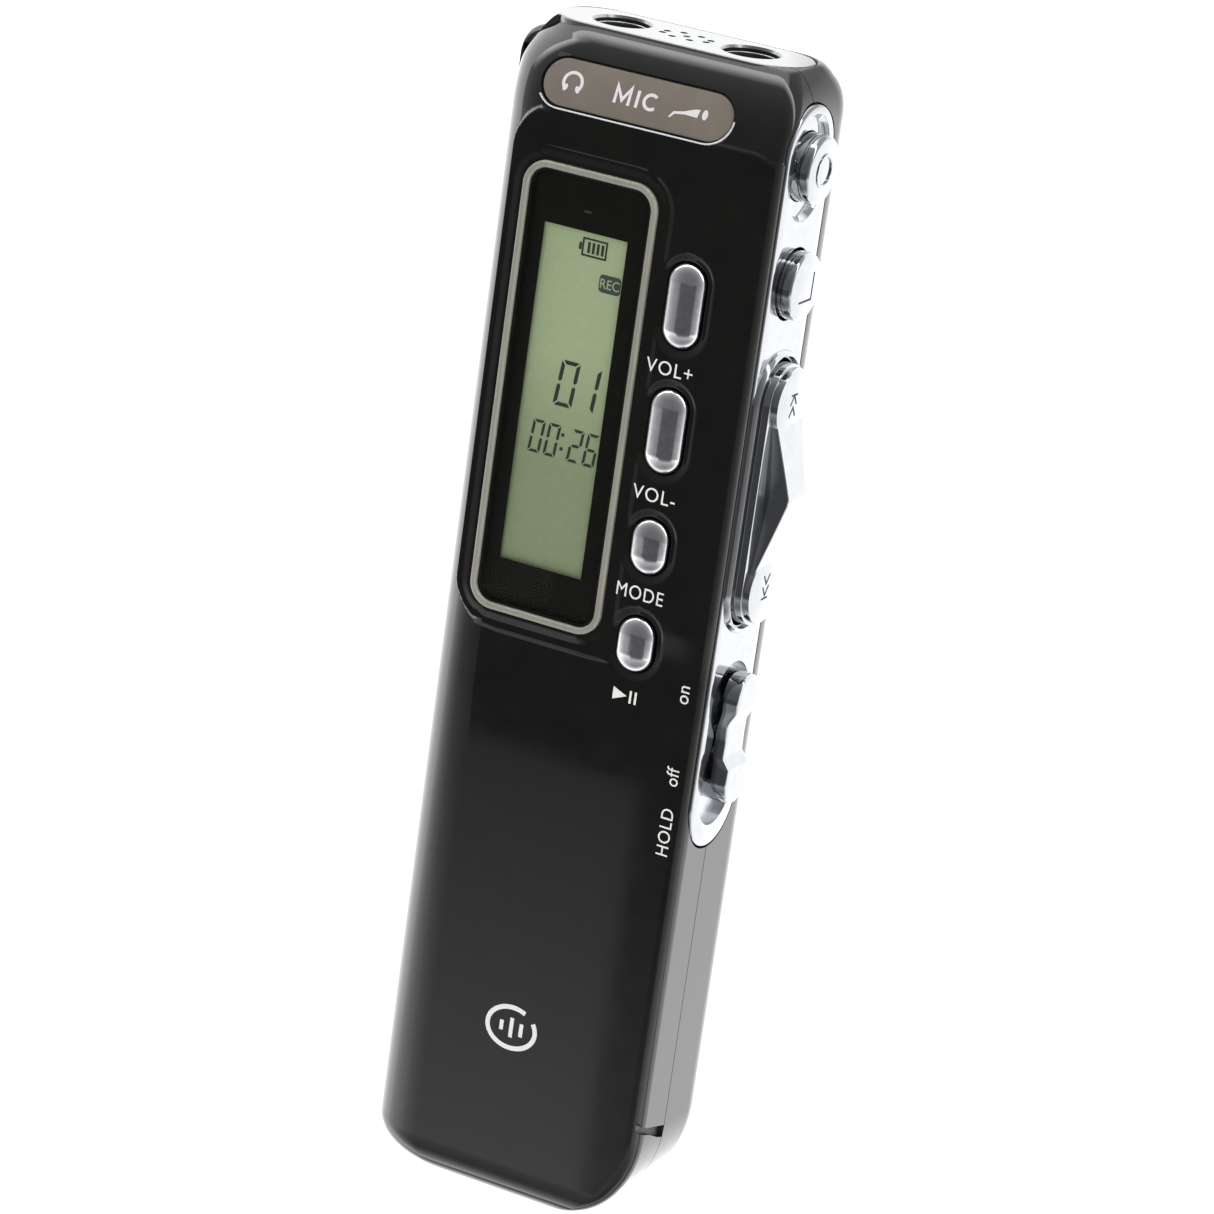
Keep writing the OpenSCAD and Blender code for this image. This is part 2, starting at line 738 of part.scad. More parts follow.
module speaker() color("#8c8f93") {
  translate([0, speaker_y, 0]) {
    translate([0, 0, 1.95]) cylinder(r = speaker_r, h = 1.2);
    translate([0, 0, 3.1]) cylinder(r = 4.4, h = 1.5);
    translate([0, 0, 4.5]) cylinder(r = 3.2, h = 0.4);
  }
}
module speaker_gasket() color("#2a2a2a") {
  translate([0, speaker_y, wall + 0.03]) difference() {
    cylinder(r = speaker_r, h = 0.5);
    translate([0, 0, -1]) cylinder(r = 5.2, h = 3);
  }
}

module audio_chip() color("#1b1c1e") {
  block([-2.6, 21.2, board_z - 1.05], [4.4, 28.2, board_z - 0.05]);
}
module flash_chip() color("#1b1c1e") {
  block([-7, 5.4, board_z - 1.05], [5, 13.4, board_z - 0.05]);
}
module clock_crystal() color("#c4c8cb") {
  translate([7.6, 25, board_z - 1.3]) rotate([90, 0, 0]) {
    cylinder(r = 1, h = 5.4);
    translate([0, 0, 5.2]) cylinder(r = 1.2, h = 0.5);
  }
}

// Small capacitors in one row beside the chips.
module capacitors() color("#b89b6c") {
  for (k = [0 : 5]) block([-2.4 + 1.3 * k, 30, board_z - 0.65], [-1.6 + 1.3 * k, 31.6, board_z - 0.03]);
  for (k = [0 : 1]) translate([-8.4, 15.5 + 4.6 * k, board_z - 4.6]) cylinder(r = 2, h = 4.55);
}

// ---------- power ----------

// One AAA cell; flip turns its positive end towards the lower end of the casing.
module cell(x, flip) {
  translate([x, cell_mid_y, cell_z]) rotate([flip ? 90 : -90, 0, 0])
    translate([0, 0, -cell_l / 2]) {
      cylinder(r = cell_r, h = cell_l);
      translate([0, 0, cell_l - 0.01]) cylinder(r = 1.9, h = cell_nub_l);
    }
}
module battery_a() color("#3c6ea5") cell(cell_xs[0], false);
module battery_b() color("#3c6ea5") cell(cell_xs[1], true);

near_y = -1.1;        // contacts against the bay wall
far_y = -49.25;       // contacts against the lower end
// Flat plates that the leads are soldered to.
module battery_terminals() color("#cfd3d6") {
  for (x = cell_xs) block([x - 3.6, near_y - 0.2, cell_z - 3.6], [x + 3.6, near_y, cell_z + 3.6]);
  translate([cell_xs[0], near_y - 0.75, cell_z]) rotate([-90, 0, 0]) cylinder(r = 1.6, h = 0.6);
}

// One plate across both cells at the lower end.
module battery_bridge() color("#cfd3d6") {
  block([cell_xs[0] - 1.3, far_y, cell_z - 1.6], [cell_xs[1] + 0.6, far_y + 0.2, cell_z + 3.2]);
}

// Points of a conical spring, from its wide end.
function coil_point(t, turns, r0, r1, h) =
  let (a = 360 * turns * t, r = r0 + (r1 - r0) * t) [r * cos(a), r * sin(a), h * t];

// A wire of radius wr wound into a conical spring along +Z.
module conical_spring(turns, r0, r1, h, wr) {
  steps = 14 * turns;
  sides = 6;
  rings = [for (k = [0 : steps]) let (
      p = coil_point(k / steps, turns, r0, r1, h), a = 360 * turns * k / steps,
      out = [cos(a), sin(a), 0])
    for (s = [0 : sides - 1]) p + wr * (cos(60 * s) * out + sin(60 * s) * [0, 0, 1])];
  walls = [for (k = [0 : steps - 1], s = [0 : sides - 1]) let (n = (s + 1) % sides)
    [sides * k + s, sides * k + n, sides * (k + 1) + n, sides * (k + 1) + s]];
  polyhedron(points = rings, faces = concat(walls,
    [[for (s = [0 : sides - 1]) sides - 1 - s], [for (s = [0 : sides - 1]) sides * steps + s]]));
}

module battery_springs() color("#d8dbde") {
  room = near_y - 0.2 - (cell_mid_y + cell_l / 2);
  translate([cell_xs[1], near_y - 0.42, cell_z]) rotate([90, 0, 0])
    conical_spring(3, 2.8, 1.8, room - 0.45, 0.19);
  room_far = (cell_mid_y - cell_l / 2) - far_y - 0.2;
  translate([cell_xs[0], far_y + 0.42, cell_z]) rotate([-90, 0, 0])
    conical_spring(3, 2.1, 1.5, room_far - 0.45, 0.19);
}

// ---------- fasteners and leads ----------

module case_screws() color("#9fa3a7") {
  for (p = screw_spots) translate([p[0], p[1], 0]) difference() {
    union() {
      translate([0, 0, head_z - 0.9]) cylinder(r = head_r, h = 0.88);
      translate([0, 0, head_z - 0.1]) cylinder(r = screw_r, h = screw_top + 0.1 - head_z);
    }
    for (turn = [0, 90]) rotate(turn) translate([0, 0, head_z - 0.9]) cube([1.6, 0.35, 0.8], center = true);
  }
}

lead_r = 0.3;
module speaker_leads() color("#b02a2a") {
  for (s = [0, 1])
    wire([[-1.2 + 1.4 * s, speaker_y - 4.9, 3.6], [-1.2 + 1.4 * s, speaker_y - 7, 3.9],
          [-2.4 + s, 3.2, 6.4], [-2.4 + s, 3.2, board_z - 0.05]], lead_r);
}
module mic_leads() color("#d9d6cc") {
  for (s = [-1, 1])
    wire([[0.6 * s, 46.58, cap_z + 0.2], [0.6 * s, 44.6, board_z - 0.1]], 0.2);
}
module battery_leads() color("#2b2b2b") {
  for (x = cell_xs)
    wire([[x, near_y + 0.02, 8.66], [x, 1.2, 8.66], [x, 1.2, board_z - 0.02]], lead_r);
}

front_shell();
rear_shell();
battery_door();
side_trim();
top_cap();
display_bezel();
display_lens();
display_mask();
lcd_glass();
lcd_backlight();
lcd_connector();
label_plate();
volume_up_key();
volume_down_key();
mode_key();
play_key();
key_mat();
record_key();
stop_key();
skip_rocker();
rocker_pin();
hold_knob();
main_board();
front_switches();
side_switches();
hold_switch();
headphone_jack();
line_in_jack();
usb_socket();
microphone();
mic_boot();
speaker();
speaker_gasket();
audio_chip();
flash_chip();
clock_crystal();
capacitors();
battery_a();
battery_b();
battery_terminals();
battery_springs();
battery_bridge();
case_screws();
speaker_leads();
mic_leads();
battery_leads();
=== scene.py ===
"""Handheld voice recorder: the look of each piece, on the CAD frame.
Lengths are in millimetres until a mesh is made."""

import functools
import math

import bmesh
import bpy
import numpy as np
from mathutils import Matrix, Vector

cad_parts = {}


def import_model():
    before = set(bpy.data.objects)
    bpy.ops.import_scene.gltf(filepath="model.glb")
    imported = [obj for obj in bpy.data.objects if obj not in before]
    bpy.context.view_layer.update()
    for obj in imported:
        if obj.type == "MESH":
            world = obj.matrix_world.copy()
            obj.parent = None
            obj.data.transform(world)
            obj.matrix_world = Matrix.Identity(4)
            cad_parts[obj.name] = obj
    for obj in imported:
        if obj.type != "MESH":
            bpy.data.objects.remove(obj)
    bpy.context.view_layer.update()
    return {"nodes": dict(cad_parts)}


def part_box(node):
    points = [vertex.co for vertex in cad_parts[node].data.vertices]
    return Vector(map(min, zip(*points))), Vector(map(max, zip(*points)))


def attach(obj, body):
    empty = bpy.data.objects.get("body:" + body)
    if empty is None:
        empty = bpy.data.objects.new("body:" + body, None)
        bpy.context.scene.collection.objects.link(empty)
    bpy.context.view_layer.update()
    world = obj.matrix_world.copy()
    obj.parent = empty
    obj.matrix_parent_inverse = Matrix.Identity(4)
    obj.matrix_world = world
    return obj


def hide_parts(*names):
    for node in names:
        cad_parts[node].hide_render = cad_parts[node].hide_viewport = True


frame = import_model()
NODES = frame["nodes"]
MM = 0.001


@functools.cache
def box(node):
    """Lowest and highest corner of a CAD node, in millimetres."""
    low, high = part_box(node)
    return np.array(low) / MM, np.array(high) / MM


@functools.cache
def middle(node):
    low, high = box(node)
    return (low + high) / 2


# ---------- camera ----------

def add_camera():
    data = bpy.data.cameras.new("camera")
    data.sensor_width = 36
    data.lens = 142.2
    data.clip_start, data.clip_end = 0.01, 20
    camera = bpy.data.objects.new("camera", data)
    bpy.context.scene.collection.objects.link(camera)
    right = Vector((0.877876, 0.133433, -0.459923))
    up = Vector((-0.257039, 0.941621, -0.217439))
    turn = Matrix((right, up, right.cross(up))).transposed()
    camera.matrix_world = Matrix.Translation((0.163539, 0.126882, 0.354745)) @ turn.to_4x4()
    bpy.context.scene.camera = camera


add_camera()
bpy.context.scene.view_settings.view_transform = "Standard"

# ---------- materials ----------

def shader(name, colour, rough=0.5, metal=0.0, **values):
    """A principled material. values are socket names with underscores, such as Coat_Weight=1."""
    material = bpy.data.materials.new(name)
    material.use_nodes = True
    inputs = principled(material).inputs
    inputs["Base Color"].default_value = (*colour, 1)
    inputs["Roughness"].default_value = rough
    inputs["Metallic"].default_value = metal
    for key, value in values.items():
        inputs[key.replace("_", " ")].default_value = value
    material.diffuse_color = (*colour, 1)
    return material


def principled(material):
    return material.node_tree.nodes["Principled BSDF"]


def add_node(tree, kind, inputs, output=0, **settings):
    """Adds a node and returns one of its outputs, or the node if output is None.
    inputs gives each socket a value or another node's output."""
    node = tree.nodes.new("ShaderNode" + kind)
    for name, value in settings.items():
        setattr(node, name, value)
    for key, value in inputs.items():
        if isinstance(value, bpy.types.NodeSocket):
            tree.links.new(value, node.inputs[key])
        else:
            node.inputs[key].default_value = value
    return node if output is None else node.outputs[output]


def ranged(tree, source, from_low, from_high, low, high):
    limits = {"From Min": from_low, "From Max": from_high, "To Min": low, "To Max": high}
    return add_node(tree, "MapRange", {"Value": source, **limits}, "Result")


def place_axes(tree, output):
    """Separated coordinates: of the object in metres, or of the world's direction."""
    return add_node(tree, "SeparateXYZ", {"Vector": add_node(tree, "TexCoord", {}, output)}, None).outputs


NOISE_LOW, NOISE_HIGH = 0.3, 0.7    # the part of the noise's range that is used


def noise(material, scale, stretch=(1, 1, 1)):
    """Noise in the object's own millimetres, drawn out along an axis by stretch."""
    tree = material.node_tree
    mapping = {"Vector": add_node(tree, "TexCoord", {}, "Object"), "Scale": [scale * s / MM for s in stretch]}
    place = add_node(tree, "Mapping", mapping)
    return add_node(tree, "TexNoise", {"Vector": place, "Scale": 1, "Detail": 3}, "Fac")


def uneven_gloss(material, grain, low, high):
    source = ranged(material.node_tree, grain, NOISE_LOW, NOISE_HIGH, low, high)
    material.node_tree.links.new(source, principled(material).inputs["Roughness"])


def tint(material, grain, dark, light):
    """Colours the material between dark and light by the noise."""
    node = add_node(material.node_tree, "ValToRGB", {"Fac": grain}, None)
    for stop, position, colour in zip(node.color_ramp.elements, (NOISE_LOW, NOISE_HIGH), (dark, light)):
        stop.position = position
        stop.color = (*colour, 1)
    material.node_tree.links.new(node.outputs["Color"], principled(material).inputs["Base Color"])


def finish(name, colour, low_rough, high_rough, scale, metal=0.0, vary=0.12, rise=0.0, stretch=(1, 1, 1), **values):
    """A material whose roughness and colour vary with fine noise, and whose surface is uneven by rise mm."""
    material = shader(name, colour, (low_rough + high_rough) / 2, metal, **values)
    grain = noise(material, scale, stretch)
    uneven_gloss(material, grain, low_rough, high_rough)
    tint(material, grain, [c * (1 - vary) for c in colour], [min(c * (1 + vary), 1) for c in colour])
    if rise:
        tree = material.node_tree
        bumps = add_node(tree, "Bump", {"Height": grain, "Strength": 0.6, "Distance": rise * MM}, "Normal")
        tree.links.new(bumps, principled(material).inputs["Normal"])
    return material


GLOSS_BLACK = finish("gloss_black", (0.0045, 0.0045, 0.004), 0.03, 0.055, 0.35, vary=0.2, IOR=1.6)
SIDE_BLACK = finish("side_black", (0.0055, 0.0055, 0.005), 0.05, 0.09, 0.5, vary=0.2, IOR=1.6)
INSIDE_BLACK = finish("inside_black", (0.012, 0.012, 0.011), 0.45, 0.6, 2.0, vary=0.2, rise=0.01)
# Chrome's own colour, set far darker than the real metal's: part of its darkness is painted shade.
CHROME_WITH_PAINTED_SHADE = finish("chrome", (0.40, 0.41, 0.425), 0.05, 0.10, 0.8, metal=1.0, vary=0.04)
CHROME_KEY = finish("chrome_key", (0.76, 0.77, 0.80), 0.10, 0.17, 2.2, metal=1.0, vary=0.05)
# Satin silver's own colour, set far darker than the real metal's: part of its darkness is painted shade.
SATIN_SILVER_WITH_PAINTED_SHADE = finish("satin_silver", (0.275, 0.285, 0.285), 0.22, 0.32, 6.0, metal=1.0, vary=0.03, rise=0.002)
# The bezel's champagne colour, set darker than the real finish's: part of its darkness is painted shade.
CHAMPAGNE_WITH_PAINTED_SHADE = finish("champagne", (0.35, 0.34, 0.295), 0.3, 0.4, 3.0, metal=0.4, vary=0.05, stretch=(1, 0.1, 1))
MASK_BLACK = finish("mask_black", (0.006, 0.007, 0.0052), 0.35, 0.5, 1.0, vary=0.2, Specular_IOR_Level=0.1)


def glass_with_painted_shade():
    """Display glass with painted shade: its tone falls off towards its lower end."""
    material = finish("lcd_green", (0.56, 0.68, 0.40), 0.35, 0.5, 1.6, vary=0.035, Specular_IOR_Level=0.2)
    tree = material.node_tree
    base = principled(material).inputs["Base Color"]
    # painted shade: the glass's colour is scaled down towards its lower end
    painted_shade_scale = ranged(tree, place_axes(tree, "Object")["Y"], 0.0145, 0.024, 0.68, 1.0)
    colour = base.links[0].from_socket
    tree.links.new(add_node(tree, "VectorMath", {0: colour, "Scale": painted_shade_scale}, operation="SCALE"), base)
    return material


# The display glass's colour carries painted shade towards its lower end.
LCD_GREEN = glass_with_painted_shade()
LCD_INK = finish("lcd_ink", (0.035, 0.052, 0.04), 0.5, 0.6, 4.0, vary=0.1)
LCD_INK_SOFT = finish("lcd_ink_soft", (0.07, 0.10, 0.085), 0.5, 0.6, 4.0, vary=0.1)
WHITE_PRINT = finish("white_print", (0.78, 0.78, 0.76), 0.4, 0.55, 3.0, vary=0.03)
LABEL_PRINT = finish("label_print", (0.66, 0.64, 0.65), 0.3, 0.45, 3.0, vary=0.04)
# painted highlight: a light finish for the strip along the label's lower edge and right end
LABEL_PAINTED_HIGHLIGHT = finish("label_painted_highlight", (0.8, 0.81, 0.83), 0.25, 0.35, 3.0, metal=0.3, vary=0.03)
LABEL_SMOKE = finish("label_smoke", (0.165, 0.145, 0.121), 0.12, 0.2, 0.5, vary=0.06, Coat_Weight=0.6,
                     Coat_Roughness=0.04)
# painted shade: near-black finish for the walls of the cap's mic holes and socket mouths
PAINTED_HOLE_SHADE = finish("painted_hole_shade", (0.004, 0.004, 0.004), 0.5, 0.7, 2.0)
SILICONE = finish("silicone", (0.62, 0.62, 0.58), 0.55, 0.7, 2.0, rise=0.01)
RUBBER = finish("rubber", (0.02, 0.02, 0.02), 0.6, 0.75, 2.0, rise=0.01)
BOARD = finish("board", (0.02, 0.12, 0.045), 0.3, 0.45, 1.2, vary=0.3)
CHIP = finish("chip", (0.018, 0.018, 0.02), 0.5, 0.65, 5.0, rise=0.004)
TINNED = finish("tinned", (0.55, 0.56, 0.58), 0.25, 0.4, 2.5, metal=1.0, vary=0.08)
STEEL = finish("steel", (0.6, 0.61, 0.63), 0.2, 0.32, 3.0, metal=1.0, vary=0.06, stretch=(0.2, 1, 1))
GOLD = finish("gold", (0.7, 0.5, 0.2), 0.2, 0.3, 3.0, metal=1.0, vary=0.05)
JACK_BLACK = finish("jack_black", (0.015, 0.015, 0.016), 0.35, 0.5, 2.0, vary=0.2)
CELL_WRAP = finish("cell_wrap", (0.03, 0.09, 0.26), 0.18, 0.28, 0.8, vary=0.1, Coat_Weight=0.4)
CELL_BAND = finish("cell_band", (0.62, 0.62, 0.6), 0.2, 0.3, 0.8, vary=0.05, Coat_Weight=0.4)
CAP_BODY = finish("cap_body", (0.32, 0.2, 0.1), 0.35, 0.5, 2.0)
FOAM = finish("foam", (0.035, 0.035, 0.035), 0.8, 0.95, 4.0, rise=0.05)
LEAD_RED = finish("lead_red", (0.4, 0.02, 0.02), 0.35, 0.5, 2.0)
LEAD_BLACK = finish("lead_black", (0.015, 0.015, 0.015), 0.35, 0.5, 2.0)
LEAD_WHITE = finish("lead_white", (0.6, 0.58, 0.5), 0.35, 0.5, 2.0)
GUIDE = finish("guide", (0.8, 0.82, 0.78), 0.3, 0.45, 2.0, vary=0.02)


def clear_window():
    """Clear smoked plastic: lets light straight through and keeps a sharp reflection."""
    material = shader("clear_window", (0.01, 0.01, 0.009), 0.02, IOR=1.49, Alpha=0.14)
    uneven_gloss(material, noise(material, 0.3), 0.01, 0.03)
    return material


CLEAR = clear_window()

# ---------- mesh tools ----------

def piece(name, mesh_data, material, body, node=None, smooth=True):
    """A mesh object from millimetre points and faces. It rides on body and stands for the CAD node."""
    verts, faces = mesh_data
    mesh = bpy.data.meshes.new(name)
    points = [tuple(float(c) * MM for c in v) for v in verts]
    mesh.from_pydata(points, [], [tuple(int(i) for i in f) for f in faces])
    mesh.validate()
    made = bpy.data.objects.new(name, mesh)
    bpy.context.scene.collection.objects.link(made)
    if material is not None:
        mesh.materials.append(material)
    tidy(made, smooth)
    if body:
        settle(made, body, node)
    return made


def settle(made, body, node=None):
    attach(made, body)
    if node:
        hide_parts(node)


def tidy(made, smooth=True, angle=34):
    """Merges doubled points, turns faces outwards and marks sharp edges by angle."""
    work = bmesh.new()
    work.from_mesh(made.data)
    bmesh.ops.remove_doubles(work, verts=work.verts, dist=2e-7)
    bmesh.ops.dissolve_degenerate(work, edges=work.edges, dist=1e-7)
    bmesh.ops.recalc_face_normals(work, faces=work.faces)
    for face in work.faces:
        face.smooth = smooth
    for edge in work.edges:
        edge.smooth = not (edge.is_manifold and edge.calc_face_angle(0) > math.radians(angle))
    work.to_mesh(made.data)
    work.free()


def arcs(*parts):
    """An outline of arcs: (centre u, centre v, radius, first angle, last angle, steps), angles in degrees.
    The result is a function of how far the outline is grown, which returns its points anticlockwise."""
    def points(grow=0.0):
        out = []
        for u, v, radius, first, last, steps in parts:
            reach = max(radius + grow, 0.01)
            out += ellipse_arc(u, v, reach, reach, first, last, steps + 1)
        return out
    return points


def ellipse_arc(u, v, across, up, first, last, count):
    """Points along part of an ellipse about (u, v), between two angles in degrees."""
    angles = [math.radians(first + (last - first) * k / (count - 1)) for k in range(count)]
    return [(u + across * math.cos(a), v + up * math.sin(a)) for a in angles]


def circle(u, v, radius, steps=48):
    return arcs((u, v, radius, 0, 360 * (steps - 1) / steps, steps - 1))


def slot_outline(u, v, half_length, radius, steps=20):
    """A slot along v."""
    reach = half_length - radius
    return arcs((u, v + reach, radius, 0, 180, steps), (u, v - reach, radius, 180, 360, steps))


def wide_slot(half, radius, steps=20, v=0.0):
    """A slot along u."""
    return arcs((half - radius, v, radius, -90, 90, steps), (radius - half, v, radius, 90, 270, steps))


def round_rect(u0, v0, u1, v1, radius, steps=10):
    left, right, low, high = u0 + radius, u1 - radius, v0 + radius, v1 - radius
    corners = ((right, high), (left, high), (left, low), (right, low))
    return arcs(*((u, v, radius, 90 * k, 90 * k + 90, steps) for k, (u, v) in enumerate(corners)))


def on_front(u, v, h):
    return (u, v, h)


def on_side(u, v, h):
    """u runs along -Z and v along Y, so that an outline stays anticlockwise seen from +X."""
    return (h, v, -u)


def on_top(u, v, h):
    """u runs along -X and v along Z, seen from +Y."""
    return (-u, h, v)


def skin(rows, caps=True, closed=False):
    """Points and faces over rows of points. caps closes the ends; closed joins the last row to the first."""
    count, total = len(rows[0]), len(rows)
    faces = []
    for row in range(total if closed else total - 1):
        a, b = row * count, (row + 1) % total * count
        for k in range(count):
            n = (k + 1) % count
            faces.append((a + k, a + n, b + n, b + k))
    if caps and not closed:
        faces += [tuple(reversed(range(count))), tuple(range((total - 1) * count, total * count))]
    return [point for row in rows for point in row], faces


def loft(outline, levels, place=on_front, closed=False):
    """A solid whose outline grows and rises by levels, which are (grow, height) pairs, or a ring if closed."""
    return skin([[place(u, v, height) for u, v in outline(grow)] for grow, height in levels], closed=closed)


def rising(base, *levels):
    """Levels for loft with their heights given from base."""
    return [(grow, base + height) for grow, height in levels]


def merged(*meshes):
    """One list of points and faces from several."""
    verts, faces = [], []
    for more_verts, more_faces in meshes:
        start = len(verts)
        verts += more_verts
        faces += [tuple(start + i for i in face) for face in more_faces]
    return verts, faces


def prism(outline, low, high, place=on_front):
    return loft(outline, [(0.0, low), (0.0, high)], place)


def block(low, high):
    (x0, y0, z0), (x1, y1, z1) = low, high
    verts = [(x, y, z) for x in (x0, x1) for y in (y0, y1) for z in (z0, z1)]
    return verts, [(0, 1, 3, 2), (4, 6, 7, 5), (0, 4, 5, 1), (2, 3, 7, 6), (0, 2, 6, 4), (1, 5, 7, 3)]


def carve(made, meshes, operation="DIFFERENCE"):
    """Cuts a solid with the union of the given meshes, or keeps only what they share."""
    tool = piece("tool", merged(*meshes), None, None, smooth=False)
    modifier = made.modifiers.new("carve", "BOOLEAN")
    modifier.object = tool
    modifier.operation = operation
    modifier.solver = "MANIFOLD"
    result = bpy.data.meshes.new_from_object(made.evaluated_get(bpy.context.evaluated_depsgraph_get()))
    made.modifiers.clear()
    old = made.data
    made.data = result
    bpy.data.meshes.remove(old)
    bpy.data.meshes.remove(tool.data)


# ---------- casing ----------

REAR_LOW, REAR_HIGH = box("rear_shell")
FRONT_LOW, FRONT_HIGH = box("front_shell")
HALF_W, HALF_L = REAR_HIGH[0], REAR_HIGH[1]
PAD_RISE = 0.12
TOP = FRONT_HIGH[2] - PAD_RISE
SEAM = (REAR_HIGH[2] + FRONT_LOW[2]) / 2
SEAM_GAP = 0.045
WALL = 1.4
FRONT_LEFT_R, FRONT_RIGHT_R, BACK_R, FOOT_R = 6.0, 1.2, 4.5, 4.0
CROWN_R, TOP_BACK_R, PLAN_R_TOP = 9.0, 2.7, 5.5
PLAN_R_LEFT, PLAN_R_RIGHT = 3.8, 10.0    # lower corners of the outline
CROWN_Y = HALF_L - 7.5
TOP_ARC_Y = HALF_L - 4.32
END_ROUND = 0.22
PAD = (-10.7, -0.1, 14.5, 44.75)
PAD_CORNER = 4.0
BEZEL_LOW, BEZEL_HIGH = box("display_bezel")
BEZEL_R = 2.2
KEY_NODES = ("volume_up_key", "volume_down_key", "mode_key", "play_key")
KEY_HALF_W = 1.7
KEY_LIP = 0.6    # the flange behind the wall is this much larger all round


def root(value):
    return np.sqrt(np.maximum(value, 0.0))


def end_round(y):
    """How far the outline draws in over the last bit before the flat socket end."""
    return drawn_in(y, HALF_L - END_ROUND, END_ROUND, 1)


def half_width(y, side):
    """Distance from the middle line to the outline, on the side that has the sign of side."""
    radius = np.where(np.asarray(side) > 0, PLAN_R_RIGHT, PLAN_R_LEFT)
    return HALF_W - drawn_in(y, radius - HALF_L, radius, -1) - drawn_in(y, TOP_ARC_Y, PLAN_R_TOP, 1) - end_round(y)


def drawn_in(y, start, radius, sign):
    """How far a round edge of this radius has drawn in at y, from start in the direction of sign."""
    return radius - root(radius ** 2 - np.clip(sign * (y - start), 0, radius) ** 2)


def front_z(y):
    return TOP - drawn_in(y, FOOT_R - HALF_L, FOOT_R, -1) - drawn_in(y, CROWN_Y, CROWN_R, 1) - end_round(y)


def back_z(y):
    foot, end = drawn_in(y, FOOT_R - HALF_L, FOOT_R, -1), drawn_in(y, HALF_L - TOP_BACK_R, TOP_BACK_R, 1)
    return foot + end + end_round(y)


def edge_radii(y):
    """Radii of the front left, front right and back edges where the height is y's."""
    height = front_z(y) - back_z(y)
    left = np.minimum(height / (FRONT_LEFT_R + BACK_R), 1)
    right = np.minimum(height / (FRONT_RIGHT_R + BACK_R), 1)
    return FRONT_LEFT_R * left, FRONT_RIGHT_R * right, BACK_R * left


def smooth(value):
    value = np.clip(value, 0, 1)
    return value * value * (3 - 2 * value)


def rounded_box_distance(x, y, low_x, low_y, high_x, high_y, radius):
    dx = np.abs(x - (low_x + high_x) / 2) - (high_x - low_x) / 2 + radius
    dy = np.abs(y - (low_y + high_y) / 2) - (high_y - low_y) / 2 + radius
    return np.minimum(np.maximum(dx, dy), 0) + np.hypot(np.maximum(dx, 0), np.maximum(dy, 0)) - radius


def front_height(x, y):
    """Height of the casing's front, with the pad, the soft ring around the bezel and the dish around each key."""
    top = front_z(y)
    left_r, right_r, _ = edge_radii(y)
    over = np.clip(-x - (half_width(y, -1) - left_r), 0, left_r)
    z = top - left_r + root(left_r ** 2 - over ** 2)
    fading = smooth((x - 1) / 4) * smooth((6.5 - y) / 6.5)
    pad = smooth(0.5 - rounded_box_distance(x, y, *PAD, PAD_CORNER) / 0.34) * (1 - fading)
    z = z + pad * (TOP + PAD_RISE - z)
    away = rounded_box_distance(x, y, *BEZEL_LOW[:2], *BEZEL_HIGH[:2], BEZEL_R)
    z = z - 0.05 * np.exp(-((away - 0.95) / 0.38) ** 2) * pad
    for node in KEY_NODES:
        (kx, ky, _), (low, high) = middle(node), box(node)
        half = (high[1] - low[1]) / 2 - KEY_LIP
        off = np.hypot(x - kx, y - ky - np.clip(y - ky, KEY_HALF_W - half, half - KEY_HALF_W)) - KEY_HALF_W
        z = z - 0.2 * (1 - smooth((off - 0.1) / 0.75))
    over = np.clip(x - (half_width(y, 1) - right_r), 0, right_r)
    return z - right_r + root(right_r ** 2 - over ** 2)


def right_top(y):
    return front_height(half_width(y, 1) - FRONT_RIGHT_R, y)


def case_distance(x, y, z):
    """Signed distance, in the section at y, to the casing's outside."""
    y = np.clip(y, -HALF_L + 0.002, HALF_L - 0.002)
    w, low = half_width(y, x), back_z(y)
    high = np.where(x < 0, front_z(y), right_top(y))
    left_r, right_r, back_r = edge_radii(y)
    mid = (front_z(y) + low) / 2
    r = np.where(z > mid, np.where(x < 0, left_r, right_r), back_r)
    dx = np.abs(x) - w + r
    dz = np.where(z > mid, z - high, low - z) + r
    return np.minimum(np.maximum(dx, dz), 0) + np.hypot(np.maximum(dx, 0), np.maximum(dz, 0)) - r


def stations(*runs):
    """Sorted values: each run is (first, last, step)."""
    values = [v for first, last, step in runs
              for v in np.linspace(first, last, max(int(round((last - first) / step)), 1) + 1)]
    kept = []
    for v in sorted(values):
        if not kept or v - kept[-1] > 0.02:
            kept.append(v)
    return np.array(kept)


def round_end(radius, first, last, count):
    """Distances from the end of a quarter round, at even angles in degrees."""
    return [radius * (1 - math.sin(math.radians(a))) for a in np.linspace(first, last, count)]


def end_stations():
    low = [-HALF_L + d for radius, count in ((FOOT_R, 13), (PLAN_R_LEFT, 17), (PLAN_R_RIGHT, 17))
           for d in round_end(radius, 90, 0, count)]
    crown = list(np.linspace(CROWN_Y, HALF_L - END_ROUND, 22))
    return low + crown + [HALF_L - d for d in round_end(END_ROUND, 0, 90, 6)]


def key_zone():
    """Lowest and highest corner of a box around the front keys."""
    lows, highs = zip(*(box(node) for node in KEY_NODES))
    return np.min(lows, axis=0) - 0.5, np.max(highs, axis=0) + 0.5


